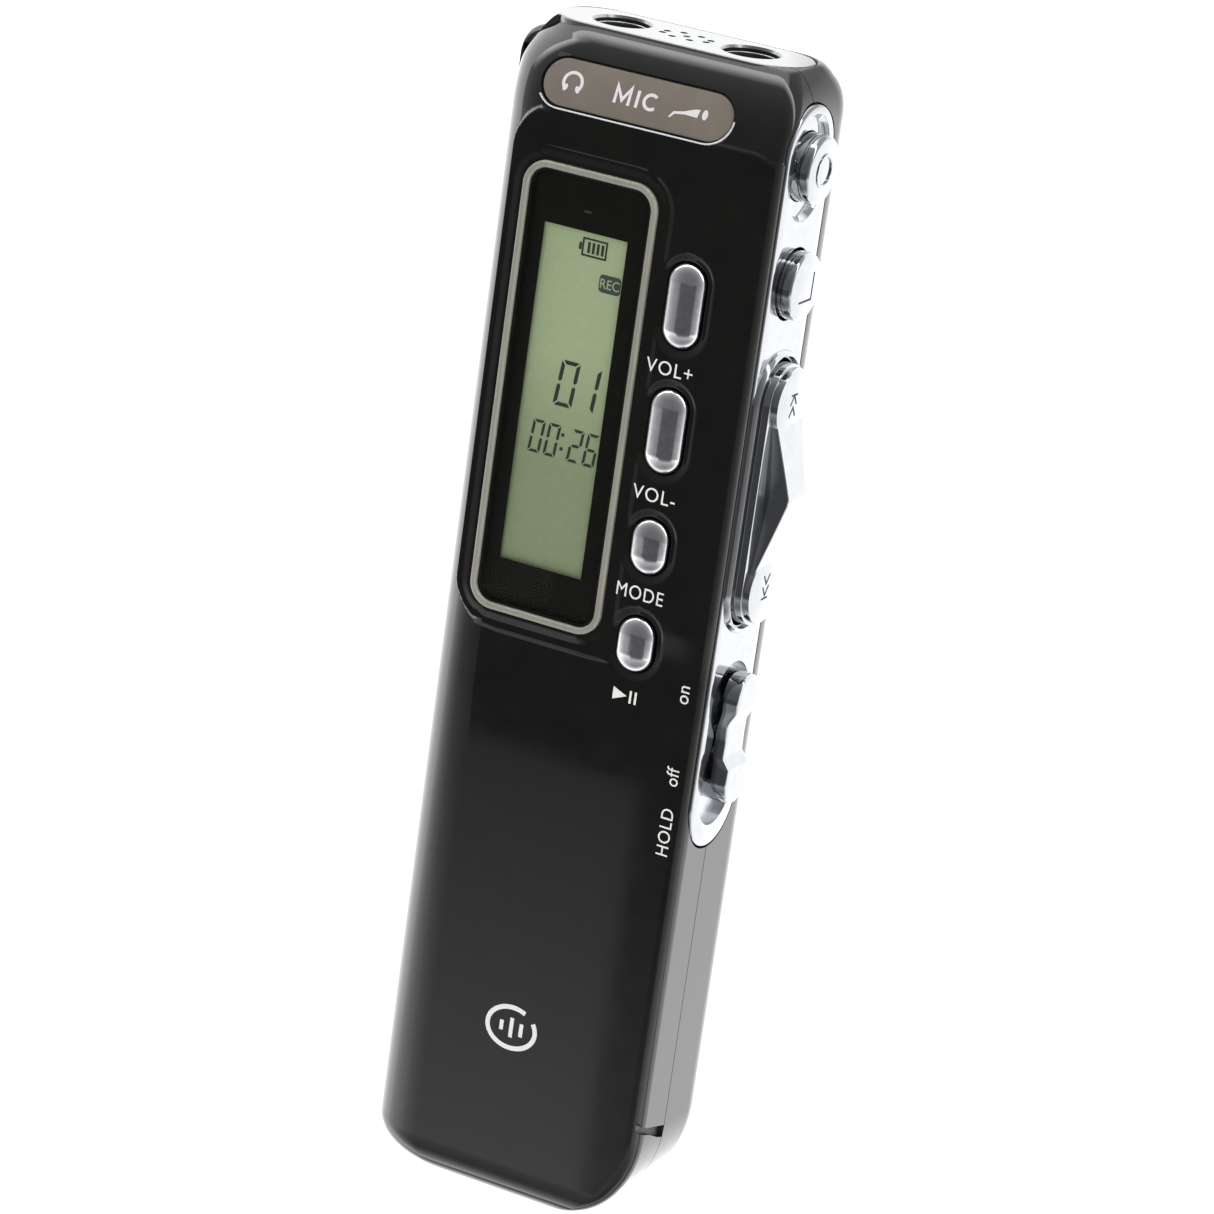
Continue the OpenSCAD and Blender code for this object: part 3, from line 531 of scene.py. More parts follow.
def side_path(y, sign, upper):
    """Points from the first front line to the seam (upper), or from the seam to the back, on the side of sign."""
    w, low = float(half_width(y, sign)), back_z(y)
    left_r, right_r, back_r = edge_radii(y)
    r = left_r if sign < 0 else right_r
    centre = (front_z(y) if sign < 0 else right_top(y)) - r
    at_seam = np.arccos(np.clip((SEAM - centre) / r, 0, 1))
    inner = w - r
    if upper:
        edge = SEAM + SEAM_GAP
        start_x = w * FRONT_LINES[0 if sign < 0 else -1] / HALF_W
        start = np.arcsin(np.clip((abs(start_x) - inner) / r, 0, 1))
        angles = [start + (at_seam - start) * k / 10 for k in range(1, 11)]
        points = [(inner + r * np.sin(a), centre + r * np.cos(a)) for a in angles]
        wall = max(centre - edge, 0)
        points += [(w, edge + wall * (1 - k / 3)) for k in range(1, 4)] if wall > 0 else [points[-1]] * 3
        points = [(px, max(pz, edge)) for px, pz in points]
    else:
        angles = [at_seam + (math.pi / 2 - at_seam) * k / 3 for k in range(4)]
        points = [(inner + r * np.sin(a), min(centre + r * np.cos(a), SEAM - SEAM_GAP)) for a in angles]
        top_wall, low_wall = points[-1][1], low + back_r
        points += [(w, top_wall + (low_wall - top_wall) * k / 4) for k in range(1, 5)]
        points += ellipse_arc(w - back_r, low + back_r, back_r, back_r, 0, -90, 15)[1:]
    return [(sign * px, y, pz) for px, pz in points]


KEYS_LOW, KEYS_HIGH = key_zone()
FRONT_LINES = stations((-12.6, -11.3, 0.25), (-11.3, -10.2, 0.09), (-10.2, -8.6, 0.2), (-8.6, 2.9, 1.2),
                       (2.9, KEYS_LOW[0], 0.2), (KEYS_LOW[0], KEYS_HIGH[0], 0.15),
                       (KEYS_HIGH[0], HALF_W - FRONT_RIGHT_R, 0.6))


def shell_solid(name, upper):
    """The front or rear half of the casing as a closed solid, before it is hollowed."""
    if upper:
        runs = ((-43, -1.2, 1.8), (-1.2, 1.4, 0.12), (1.4, KEYS_HIGH[1], 0.17), (KEYS_HIGH[1], 40.2, 0.4),
                (40.2, 45.3, 0.13))
    else:
        runs = ((-43, CROWN_Y, 2.0),)
    ys = sorted(set(round(float(y), 4) for y in list(stations(*runs)) + end_stations()))
    ys = [y for k, y in enumerate(ys) if k == 0 or y - ys[k - 1] > 0.004]
    rows = []
    for y in ys:
        right, left = side_path(y, 1, upper), side_path(y, -1, upper)
        if upper:
            xs = FRONT_LINES[::-1] * half_width(y, FRONT_LINES[::-1]) / HALF_W
            top = [(x, y, z) for x, z in zip(xs, front_height(xs, np.full(len(xs), y)))]
            rows.append(right[::-1] + top + left)
        else:
            rows.append(right + left[::-1])
    return piece(name, skin(rows), None, None)


def hollow(inset=WALL):
    """A solid that fills the inside of the casing."""
    rows = []
    for y in np.linspace(-HALF_L + inset, HALF_L - inset, 61):
        outer_y = float(np.clip(y * HALF_L / (HALF_L - inset), -HALF_L, HALF_L))
        left, right = (float(half_width(outer_y, side)) - inset for side in (-1, 1))
        top, low = front_z(outer_y) - inset, back_z(outer_y) + inset
        left_r, right_r, back_r = (max(r - inset, 0.2) for r in edge_radii(outer_y))
        row = ellipse_arc(right - right_r, top - right_r, right_r, right_r, 0, 90, 3)
        row += ellipse_arc(left_r - left, top - left_r, left_r, left_r, 90, 180, 9)
        row += ellipse_arc(back_r - left, low + back_r, back_r, back_r, 180, 270, 7)
        row += ellipse_arc(right - back_r, low + back_r, back_r, back_r, 270, 360, 7)
        rows.append([(px, y, pz) for px, pz in row])
    return skin(rows)


def outside_normals(made, front):
    """Gives the casing's outside its exact normals, so that reflections run clean over it. Cut faces stay flat."""
    mesh = made.data
    count = len(mesh.vertices)
    co = np.empty(count * 3)
    mesh.vertices.foreach_get("co", co)
    x, y, z = (co.reshape(-1, 3) / MM).T
    inner_y = np.clip(y, -HALF_L + 0.01, HALF_L - 0.01)
    step = 0.004

    def gradient_of(distance):
        return np.stack([distance(x + dx, inner_y + dy, z + dz) - distance(x - dx, inner_y - dy, z - dz)
                         for dx, dy, dz in np.eye(3) * step], axis=1)

    gradient = gradient_of(case_distance)
    outer = np.abs(case_distance(x, y, z)) < 0.03
    if front:
        w, right_r = half_width(inner_y, x), edge_radii(inner_y)[1]

        def above(px, py, pz):
            return pz - front_height(px, py)

        field = (np.abs(above(x, inner_y, z)) < 0.02) & (x > -11.6 * w / HALF_W) & (x < w - right_r * 0.5)
        gradient = np.where(field[:, None], gradient_of(above), gradient)
        outer = outer | field
    gradient /= np.maximum(np.linalg.norm(gradient, axis=1), 1e-12)[:, None]
    normals = np.zeros((len(mesh.loops), 3))
    for face in mesh.polygons:
        ids = np.array(face.vertices)
        facing = gradient[ids] @ np.array(face.normal)
        face.use_smooth = bool(outer[ids].all()) and bool(facing.min() > 0.3)
        if face.use_smooth:
            normals[face.loop_start:face.loop_start + face.loop_total] = gradient[ids]
    mesh.normals_split_custom_set([tuple(n) for n in normals])


def paint(made, outside, inside=None):
    """Sets the finish of a cut solid, with a second one for the faces that don't belong to its outside."""
    made.data.materials.clear()
    made.data.materials.append(outside)
    if inside:
        made.data.materials.append(inside)
    for face in made.data.polygons:
        face.material_index = 1 if inside and not face.use_smooth else 0


TRIM_LOW, TRIM_HIGH = box("side_trim")
TRIM_Y, TRIM_Z = (TRIM_LOW[1] + TRIM_HIGH[1]) / 2, (TRIM_LOW[2] + TRIM_HIGH[2]) / 2
TRIM_HALF, TRIM_R = (TRIM_HIGH[1] - TRIM_LOW[1]) / 2, (TRIM_HIGH[2] - TRIM_LOW[2]) / 2
TRIM_IN, TRIM_OUT = HALF_W - 0.8, HALF_W + 0.1
CAP_LOW, CAP_HIGH = box("top_cap")
CAP_Z = (CAP_LOW[2] + CAP_HIGH[2]) / 2
CAP_HALF, CAP_R = (CAP_HIGH[0] - CAP_LOW[0]) / 2, (CAP_HIGH[2] - CAP_LOW[2]) / 2
INNER_FRONT = TOP - WALL
USB_LOW, USB_HIGH = box("usb_socket")
SPEAKER = middle("speaker")
DOOR_LOW, DOOR_HIGH = box("battery_door")
DOOR_WALL = 1.2
GRILLE_PITCH, GRILLE_HOLE = 1.75, 0.55


def label_frame():
    """Matrix, in millimetres, from the label's own plane to the casing: the label lies on the crown's slope."""
    low, high = box("label_plate")
    y = (low[1] + high[1]) / 2
    tilt = math.asin((y - CROWN_Y) / CROWN_R) + math.radians(1.2)
    centre = Vector((0, CROWN_Y + CROWN_R * math.sin(tilt), TOP - CROWN_R + CROWN_R * math.cos(tilt)))
    centre.x = (low[0] + high[0]) / 2
    return Matrix.Translation(centre) @ Matrix.Rotation(-tilt, 4, "X")


LABEL = label_frame()
LABEL_HALF, LABEL_R, LABEL_GAP = 8.6, 2.0, 0.17
LABEL_FACE = -0.26    # below the plane of its frame


def on_label(u, v, h):
    return tuple(LABEL @ Vector((u, v, h)))


def key_outline(node, steps=20):
    centre, (low, high) = middle(node), box(node)
    return slot_outline(centre[0], centre[1], (high[1] - low[1]) / 2 - KEY_LIP, KEY_HALF_W, steps)


def shell_cuts():
    """Cuts that both shells share, in groups whose parts don't touch each other."""
    trim = slot_outline(-TRIM_Z, TRIM_Y, TRIM_HALF, TRIM_R, 40)
    cap = wide_slot(CAP_HALF, CAP_R, v=CAP_Z)
    return [
        [loft(trim, [(0.16, TRIM_IN), (0.16, TRIM_IN + 4)], on_side),
         loft(cap, [(0.06, HALF_L - 0.8), (0.06, HALF_L + 3)], on_top)],
        [loft(trim, [(-0.8, HALF_W - 3), (-0.8, TRIM_IN + 0.5)], on_side),
         loft(cap, [(-1.0, HALF_L - 4), (-1.0, HALF_L - 0.5)], on_top), usb_cut()],
        [cell_room("battery_a")], [cell_room("battery_b")],
    ]


def usb_cut():
    y, z = (USB_LOW[1] + USB_HIGH[1]) / 2, (USB_LOW[2] + USB_HIGH[2]) / 2
    outline = round_rect(y - 3.95, z - 2.05, y + 3.95, z + 2.05, 0.5, 4)
    return prism(outline, -HALF_W - 1, -HALF_W + 3, lambda u, v, h: (h, u, v))


def cell_room(node):
    x, _, z = middle(node)
    return prism(circle(x, z, 5.36, 40), -47.6, -3.2, lambda u, v, h: (u, h, v))


def build_front():
    made = shell_solid("case_front", True)
    carve(made, [hollow()])
    bezel = round_rect(*BEZEL_LOW[:2], *BEZEL_HIGH[:2], BEZEL_R)
    pry_notch = [(-9.0, -42.1), (-9.0, -40.95), (-12.5, -40.05), (-13.3, -39.75), (-14.5, -38.6), (-14.2, -39.5),
                 (-13.5, -40.4), (-11.8, -40.95), (-10.0, -41.8)]
    for cut in shell_cuts() + [
        [loft(bezel, [(0.05, BEZEL_LOW[2] - 0.02), (0.05, TOP + 2)])],
        [loft(bezel, [(-1.2, INNER_FRONT - 1), (-1.2, BEZEL_LOW[2] + 0.1)])],
        [loft(key_outline(node), [(0.15, INNER_FRONT - 0.5), (0.15, TOP + 2)]) for node in KEY_NODES],
        [prism(wide_slot(LABEL_HALF + LABEL_GAP, LABEL_R + LABEL_GAP), -0.72, 2, on_label)],
        [plate(pry_notch[::-1], HALF_W - 0.5, HALF_W + 1, on_side)],
    ]:
        carve(made, cut)
    outside_normals(made, True)
    paint(made, GLOSS_BLACK, INSIDE_BLACK)
    settle(made, "case", "front_shell")


def door_region(extra):
    return block((DOOR_LOW[0] - extra, -HALF_L - 2, -2), DOOR_HIGH + extra)


def build_rear():
    solid = shell_solid("case_rear", False)
    door = solid.copy()
    door.name = "door_panel"
    door.data = solid.data.copy()
    bpy.context.scene.collection.objects.link(door)

    spots = [spot for ring in range(3) for spot in
             ellipse_arc(0, 0, GRILLE_PITCH * ring, GRILLE_PITCH * ring, 0, 360, max(6 * ring, 1) + 1)[:-1]]
    grille = [prism(circle(SPEAKER[0] + u, SPEAKER[1] + v, GRILLE_HOLE, 20), -2, WALL + 1) for u, v in spots]
    tracks = [block((s * 9.7 - 0.65, -HALF_L - 1, 1.65), (s * 9.7 + 0.65, -HALF_L + 13, 2.25)) for s in (-1, 1)]
    screws = [prism(circle(*spot, 1.4, 32), -2, 2.5) for spot in screw_places()]
    carve(solid, [hollow()])
    for cut in shell_cuts() + [[door_region(0.1)], screws, grille, tracks]:
        carve(solid, cut)
    outside_normals(solid, False)
    paint(solid, SIDE_BLACK, INSIDE_BLACK)
    settle(solid, "case", "rear_shell")

    build_lug()

    corners = ((PLAN_R_LEFT - HALF_W, PLAN_R_LEFT, 180, 10), (HALF_W - PLAN_R_RIGHT, PLAN_R_RIGHT, 270, 24))
    room = arcs(*((x, r - HALF_L, r - DOOR_WALL, turn, turn + 90, steps) for x, r, turn, steps in corners),
                (HALF_W - 2.2, 0, 1, 0, 90, 4), (2.2 - HALF_W, 0, 1, 90, 180, 4))
    carve(door, [door_region(0.0)], "INTERSECT")
    carve(door, [prism(room, DOOR_WALL, 12)])
    carve(door, [block((-HALF_W, 3.4 - HALF_L, DOOR_WALL + 0.01), (HALF_W, HALF_L, 12))])
    carve(door, [prism(wide_slot(5.5, 0.3, 8, DOOR_HIGH[1] - 5 - 1.3 * k), -0.5, 0.35) for k in range(5)])
    outside_normals(door, False)
    paint(door, SIDE_BLACK, INSIDE_BLACK)
    settle(door, "battery_door")
    rails = [block((x0, -45, 1.15), (x1, DOOR_HIGH[1] - 1, 2.1)) for x0, x1 in ((-10.1, -8.95), (8.95, 10.1))]
    piece("door_rails", merged(*rails), INSIDE_BLACK, "battery_door", smooth=False)
    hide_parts("battery_door")


def build_lug():
    """Corner lug with a small three-sided eye for a wrist strap."""
    outline = arcs((-12.1, 48.0, 1.6, 90, 180, 12))() + [(-13.7, 44.6), (-12.6, 43.8), (-9.5, 46.2), (-9.5, 49.6)]
    levels = rising(SEAM, (0, -3.7), (0, -1.3), (-0.12, -0.8), (-0.4, -0.4), (-0.8, -0.17), (-1.25, -0.1))

    def drawn(grow=0.0):
        return [(u - grow * (0.1 if u < -12 else 0), v + grow * (1 if v > 46.6 else 0)) for u, v in outline]

    made = piece("strap_lug", loft(drawn, levels), None, None)
    carve(made, [plate([(-13.42, 47.95), (-13.2, 46.7), (-12.45, 48.1)], 2, 12)])
    tidy(made)
    paint(made, SIDE_BLACK)
    settle(made, "case")


def screw_places():
    """Centres of the case screws, from groups of the node's points that lie close together."""
    groups = []
    for vertex in NODES["case_screws"].data.vertices:
        p = np.array(vertex.co[:2]) / MM
        for group in groups:
            if np.hypot(*(group[0] - p)) < 3:
                group.append(p)
                break
        else:
            groups.append([p])
    return [tuple((np.min(group, axis=0) + np.max(group, axis=0)) / 2) for group in groups]


# ---------- small shapes ----------

def ridge(half, heights, base, top, place=on_side, across=9):
    """A solid that lies along v and is the same on both sides of its middle line. half(grow) is the outline of one
    side, heights is the edge's profile as (grow, drop) pairs from the wall up, and top(v) is the top's height."""
    outlines = [half(grow) for grow, _ in heights]
    rows = []
    for k, (u0, v0) in enumerate(outlines[0]):
        right = [(u0, v0, base)]
        for (_, drop), outline in zip(heights, outlines):
            right.append((*outline[k], top(outline[k][1]) - drop))
        u, v, h = right[-1]
        over = [(u * (1 - 2 * j / across), v, h) for j in range(1, across)]
        rows.append([place(*p) for p in right + over + [(-a, b, c) for a, b, c in reversed(right)]])
    return skin(rows, caps=False)


def waisted(reach, lobe, waist, steps=16, middle_steps=24):
    """Half outline, from -v to +v, of two round lobes joined by a middle of half width waist."""
    def half(grow=0.0):
        turn = math.atan2(lobe - waist, reach)
        points = []
        for k in range(steps + 1):
            a = -math.pi / 2 + (math.pi / 2 + turn) * k / steps
            points.append(((lobe + grow) * math.cos(a), -reach + (lobe + grow) * math.sin(a)))
        u1, v1 = points[-1]
        for k in range(1, middle_steps):
            v = v1 * (1 - 2 * k / middle_steps)
            t = abs(v / v1)
            points.append((waist + grow + (u1 - waist - grow) * t ** 1.25, v))
        points += [(u, -v) for u, v in reversed(points[:steps + 1])]
        return points
    return half


def beside(z, y):
    """Places u and v about (z, y) on the key side; u runs along -Z."""
    return lambda u, v, h: on_side(u - z, v + y, h)


def strip(points, width, low, high, place=on_front, closed=False):
    """A thin raised line of the given width along points in the plane."""
    pts = [np.array(p, dtype=float) for p in points]
    count = len(pts)

    def unit(vector):
        return vector / max(np.linalg.norm(vector), 1e-9)

    left, right = [], []
    for k in range(count):
        along_in = unit(pts[k] - (pts[k - 1] if k > 0 or closed else pts[k]))
        along_out = unit((pts[(k + 1) % count] if k < count - 1 or closed else pts[k]) - pts[k])
        along = unit(along_in + along_out)
        across = np.array((-along[1], along[0]))
        lean = abs(float(along @ along_out)) if np.linalg.norm(along_out) > 0.5 else 1.0
        left.append(pts[k] + across * width / 2 / max(lean, 0.35))
        right.append(pts[k] - across * width / 2 / max(lean, 0.35))
    rows = [[place(*l, low), place(*r, low), place(*r, high), place(*l, high)] for l, r in zip(left, right)]
    return skin(rows, closed=closed)


def plate(points, low, high, place=on_front):
    """A thin flat shape with the given corners."""
    return prism(lambda grow: points, low, high, place)


def text_mesh(body, size, wide=1.0, place=on_front, at=(0, 0), turn=0.0, track=1.0):
    """Points and faces of a word in the built-in font; size is the capitals' height. It is centred on at."""
    curve = bpy.data.curves.new("word", "FONT")
    curve.body = body
    curve.align_x, curve.align_y = "LEFT", "BOTTOM_BASELINE"
    curve.size = size / 0.69
    curve.space_character = track
    curve.resolution_u = 6
    curve.extrude = 0.01
    word = bpy.data.objects.new("word", curve)
    bpy.context.scene.collection.objects.link(word)
    mesh = bpy.data.meshes.new_from_object(word.evaluated_get(bpy.context.evaluated_depsgraph_get()))
    co = np.array([v.co[:] for v in mesh.vertices])
    u, v = ((co - (co.max(0) + co.min(0)) / 2) * (wide, 1, 1))[:, :2].T
    a = math.radians(turn)
    across, up = u * math.cos(a) - v * math.sin(a) + at[0], u * math.sin(a) + v * math.cos(a) + at[1]
    verts = [place(*p) for p in zip(across, up, co[:, 2])]
    faces = [tuple(p.vertices) for p in mesh.polygons]
    bpy.data.objects.remove(word)
    bpy.data.curves.remove(curve)
    bpy.data.meshes.remove(mesh)
    return verts, faces


def printed(x, y, h):
    """On the casing's front, following its height."""
    return (x, y, float(front_height(np.array([x]), np.array([y]))[0]) + 0.006 + h * 0.6)


# ---------- display ----------

def build_display():
    outline = round_rect(*BEZEL_LOW[:2], *BEZEL_HIGH[:2], BEZEL_R, 14)
    foot, top = BEZEL_LOW[2], BEZEL_HIGH[2]
    crest = rising(top, (0, -0.27), (-0.03, -0.14), (-0.1, -0.05), (-0.22, -0.005), (-0.36, 0), (-0.46, -0.02),
                   (-0.54, -0.08), (-0.6, -0.2), (-0.62, -0.36))
    ring = [(0, foot)] + crest + [(-0.62, foot)]
    piece("bezel_ring", loft(outline, ring, closed=True), CHAMPAGNE_WITH_PAINTED_SHADE, "case", "display_bezel")
    gasket = [(-0.63, foot), (-0.63, top - 0.3), (-0.85, top - 0.36), (-0.85, foot)]
    piece("window_gasket", loft(outline, gasket, closed=True), MASK_BLACK, "case")
    low, high = box("display_lens")
    glass = loft(round_rect(*low[:2], *high[:2], BEZEL_R - 0.9),
                 [(0, low[2])] + rising(high[2], (0, -0.1), (-0.03, -0.03), (-0.1, 0)))
    piece("window", glass, CLEAR, "case", "display_lens")
    build_segments()


LCD_TOP = box("lcd_glass")[1][2]
DIGITS = {"0": "abcdef", "1": "bc", "2": "abged", "6": "afgedc"}


def segment(name, w, h, t, slant):
    """Corners of one bar, t thick, of a seven-segment digit w wide and h high, from its lower left corner."""
    g = t * 0.28
    mid = h / 2
    low, high = mid - g - t * 0.5, mid + g + t * 0.5
    upright_low = [(0, low), (t * 0.5, mid - g), (t, low), (t, g + t), (0, g)]
    upright_high = [(0, h - g), (t, h - g - t), (t, high), (t * 0.5, mid + g), (0, high)]
    shapes = {
        "a": [(g + t * 0.1, h), (w - g - t * 0.1, h), (w - g - t, h - t), (g + t, h - t)],
        "d": [(g + t, t), (w - g - t, t), (w - g - t * 0.1, 0), (g + t * 0.1, 0)],
        "g": [(g + t * 0.5, mid), (g + t, mid + t / 2), (w - g - t, mid + t / 2), (w - g - t * 0.5, mid),
              (w - g - t, mid - t / 2), (g + t, mid - t / 2)],
        "f": upright_high,
        "e": upright_low,
        "b": [(w - u, v) for u, v in upright_high],
        "c": [(w - u, v) for u, v in upright_low],
    }
    return [(u + v * slant, v) for u, v in shapes[name]]


def rectangle(u0, v0, u1, v1, low, high, place=on_front):
    return plate([(u0, v0), (u1, v0), (u1, v1), (u0, v1)], low, high, place)


def build_segments():
    z0, z1 = LCD_TOP + 0.004, LCD_TOP + 0.02
    track_row = (19.75, 1.75, 3.95, 0.34, (("0", -4.62), ("1", -2.62)))
    time_row = (15.3, 1.15, 2.85, 0.25, (("0", -6.38), ("0", -4.92), ("2", -2.72), ("6", -1.26)))
    meshes = [plate([(u + a, v + b) for a, b in segment(bar, w, h, t, 0.1)], z0, z1)
              for v, w, h, t, row in (track_row, time_row) for value, u in row for bar in DIGITS[value]]
    meshes += [plate([(-3.42, v), (-3.14, v), (-3.12, v + 0.28), (-3.40, v + 0.28)], z0, z1)
               for v in (16.05, 17.25)]
    battery = [(-3.78, 32.75), (-1.62, 32.75), (-1.62, 34.15), (-3.78, 34.15)]
    meshes.append(strip(battery, 0.17, z0, z1, closed=True))
    meshes.append(rectangle(-4.14, 33.15, -3.9, 33.75, z0, z1))
    meshes += [rectangle(u, 32.98, u + 0.25, 33.92, z0, z1) for u in (-3.35, -2.93, -2.51, -2.09)]
    piece("lcd_marks", merged(*meshes), LCD_INK, "case", smooth=False)
    badge = prism(round_rect(-1.9, 30.05, 0.12, 31.55, 0.35, 5), z0, z1)
    piece("lcd_badge", badge, LCD_INK_SOFT, "case", smooth=False)
    word = text_mesh("REC", 0.8, 0.9, lambda u, v, h: (u, v, z1 + 0.004 + h * 0.3), at=(-0.89, 30.8))
    piece("lcd_badge_word", word, LCD_GREEN, "case", smooth=False)
    tick = [prism(round_rect(*sides, 3), 13.322, 13.33)
            for sides in ((-3.75, 36.5, -2.95, 36.64, 0.05), (-3.6, 36.42, -3.1, 36.5, 0.03))]
    piece("mask_mark", merged(*tick), FOAM, "case", smooth=False)


# ---------- label at the crown ----------

def build_label():
    outline = wide_slot(LABEL_HALF, LABEL_R, 24)
    plaque = loft(outline, [(0, -0.76), (0, -0.36), (-0.05, -0.29), (-0.14, LABEL_FACE)], on_label)
    piece("label", plaque, LABEL_SMOKE, "case", "label_plate")

    def along_edge(p):
        return math.atan2(p[1] + 0.5, p[0] - 6.0) if p[0] > 6.0 else p[0] - 10

    # The light strip along the lower edge and right end of the label's recess is a painted highlight.
    rim = wide_slot(LABEL_HALF + LABEL_GAP, LABEL_R + LABEL_GAP, 24)(0.11)
    highlight_points = sorted((p for p in rim if p[1] < 0.2 and (p[1] < -1.2 or p[0] > 0)), key=along_edge)
    piece("label_painted_highlight", strip(highlight_points, 0.12, -0.2, 0.05, on_label), LABEL_PAINTED_HIGHLIGHT, "case")

    def inked(u, v, h):
        return on_label(u, v, LABEL_FACE + 0.006 + h * 0.6)

    def stroke(points):
        return strip(points, 0.27, 0.0, 0.02, inked)

    def lean(s):
        """An ear pad of the headphone sign, leaning inwards at the top."""
        return [(-5.95 + s * 0.55 + 0.2 * c - s * 0.08 * n, -0.42 + 0.3 * n)
                for c, n in ellipse_arc(0, 0, 1, 1, 0, 360, 17)[:-1]]

    h, u, v = 1.42, -1.95, -0.71    # the word's height and its lower left corner
    wedge = [(3.02, -0.78), (3.16, -0.8), (3.5, -0.42), (4.4, -0.3), (5.5, -0.34), (5.62, 0.36), (5.2, 0.3),
             (4.2, -0.08), (3.35, -0.24)]
    meshes = [
        stroke(ellipse_arc(-5.95, 0.08, 0.82, 0.82, -48, 228, 30)),
        plate(lean(-1), 0.0, 0.021, inked),
        plate(lean(1), 0.0, 0.021, inked),
        stroke([(u, v), (u, v + h), (u + 0.62, v + 0.35), (u + 1.24, v + h), (u + 1.24, v)]),
        stroke([(u + 1.95, v), (u + 1.95, v + h)]),
        stroke(ellipse_arc(u + 3.18, v + h / 2, 0.62, 0.6, 48, 312, 22)),
        plate(wedge, 0.0, 0.02, inked),
        plate(ellipse_arc(6.12, 0.02, 0.24, 0.42, 0, 360, 25)[:-1], 0.0, 0.02, inked),
    ]
    piece("label_marks", merged(*meshes), LABEL_PRINT, "case", smooth=False)


# ---------- keys ----------

def dome(radius, edge, top, steps=16):
    """Edge profile of a key that rises from edge to top in a flattened round."""
    quarter = ellipse_arc(0, 0, 1, 1, 0, 90, steps + 1)
    return [(radius * 0.985 * (c - 1), edge + (top - edge) * n) for c, n in quarter]


def build_front_keys():
    for node in KEY_NODES:
        low, high = box(node)
        levels = rising(low[2], (KEY_LIP, 0), (KEY_LIP, 0.5), (0, 0.51)) + [(0, TOP - 0.2)]
        key = loft(key_outline(node, steps=24), levels + dome(KEY_HALF_W, TOP - 0.1, high[2]))
        piece(node.replace("_key", "_cap"), key, CHROME_KEY, node, node)


SIDE_KEY_R, SIDE_KEY_RISE = 2.85, 1.3


def build_side_keys():
    face = TRIM_OUT + SIDE_KEY_RISE
    for node in ("record_key", "stop_key"):
        low, (_, y, z) = box(node)[0], middle(node)
        levels = rising(low[0], (0.25, 0), (0.25, 0.6), (0, 0.62))
        levels += rising(face, (0, -0.98), (-0.1, -0.94), (-0.1, -0.84), (0, -0.8), (0, -0.34), (-0.05, -0.2),
                         (-0.15, -0.08), (-0.32, 0))
        key = loft(circle(-z, y, SIDE_KEY_R, 72), levels, on_side)
        piece(node.replace("_key", "_cap"), key, CHROME_WITH_PAINTED_SHADE, node, node)
        if node == "record_key":
            ring = rising(face, (0, -0.05), (0, 0.08), (-0.05, 0.12), (-0.26, 0.12), (-0.31, 0.08), (-0.31, -0.05))
            mark = loft(circle(-z, y, 1.45, 56), ring, on_side, closed=True)
            piece("record_mark", mark, CHROME_WITH_PAINTED_SHADE, node)
        else:
            corner = [(-z + u, y + v) for u, v in ((-1.15, -1.15), (1.15, -1.15), (1.15, 1.15))]
            mark = strip(corner, 0.17, face - 0.02, face + 0.015, on_side)
            piece("stop_mark", mark, FOAM, node, smooth=False)


ROCKER_LOW, ROCKER_HIGH = box("skip_rocker")
ROCKER_Y = (ROCKER_LOW[1] + ROCKER_HIGH[1]) / 2
ROCKER_REACH, ROCKER_R = 8.0, 3.2
LOBE_R, WAIST = 2.95, 1.66
SLAB_TOP, LOBE_TOP, CREST = HALF_W + 1.2, HALF_W + 1.8, ROCKER_HIGH[0]


def rocker_slot(extra, steps):
    return slot_outline(-TRIM_Z, ROCKER_Y, ROCKER_REACH + ROCKER_R + extra, ROCKER_R + extra, steps)


def build_rocker():
    levels = [(0, 11.6)] + rising(SLAB_TOP, (0, -0.14), (-0.04, -0.04), (-0.13, 0))
    slab = loft(rocker_slot(0, 28), levels, on_side)

    def roof(v):
        """Height of the ridge: straight slopes from a slightly rounded crest near the middle."""
        v = abs(v - 0.25)
        rise = (CREST - LOBE_TOP + 0.06) * (1 - v / 6.3)
        if v < 0.8:
            rise = min(rise, CREST - LOBE_TOP - 0.04 * (v / 0.4) ** 2)
        return LOBE_TOP - 0.08 + max(rise, 0) * 1.04

    half = waisted(ROCKER_REACH, LOBE_R - 0.3, WAIST, middle_steps=60)
    body = ridge(half, [(0, 0.12), (-0.03, 0.05), (-0.1, 0.0)], SLAB_TOP - 0.2, roof, beside(TRIM_Z, ROCKER_Y))
    levels = [(0, SLAB_TOP - 0.3)] + rising(LOBE_TOP, (0, -0.14), (-0.04, -0.05), (-0.13, 0))
    lobes = [loft(circle(-TRIM_Z, ROCKER_Y + s * ROCKER_REACH, LOBE_R, 56), levels, on_side) for s in (-1, 1)]
    piece("rocker_body", slab, CHROME_WITH_PAINTED_SHADE, "skip_rocker", "skip_rocker")
    piece("rocker_ridge", body, CHROME_WITH_PAINTED_SHADE, "skip_rocker")
    piece("rocker_lobes", merged(*lobes), CHROME_WITH_PAINTED_SHADE, "skip_rocker")
    lines = []
    for s in (-1, 1):
        for k in (0, 1):
            v = s * (ROCKER_REACH + 0.25 - k) + 0.1
            lines.append([(-0.55, v - s * 0.45), (0, v + s * 0.35), (0.55, v - s * 0.45)])
        lines.append([(-0.55, s * (ROCKER_REACH + 0.75)), (0.55, s * (ROCKER_REACH + 0.75))])
    marks = [strip(line, 0.16, LOBE_TOP - 0.02, LOBE_TOP + 0.02, beside(TRIM_Z, ROCKER_Y)) for line in lines]
    piece("rocker_marks", merged(*marks), FOAM, "skip_rocker", smooth=False)


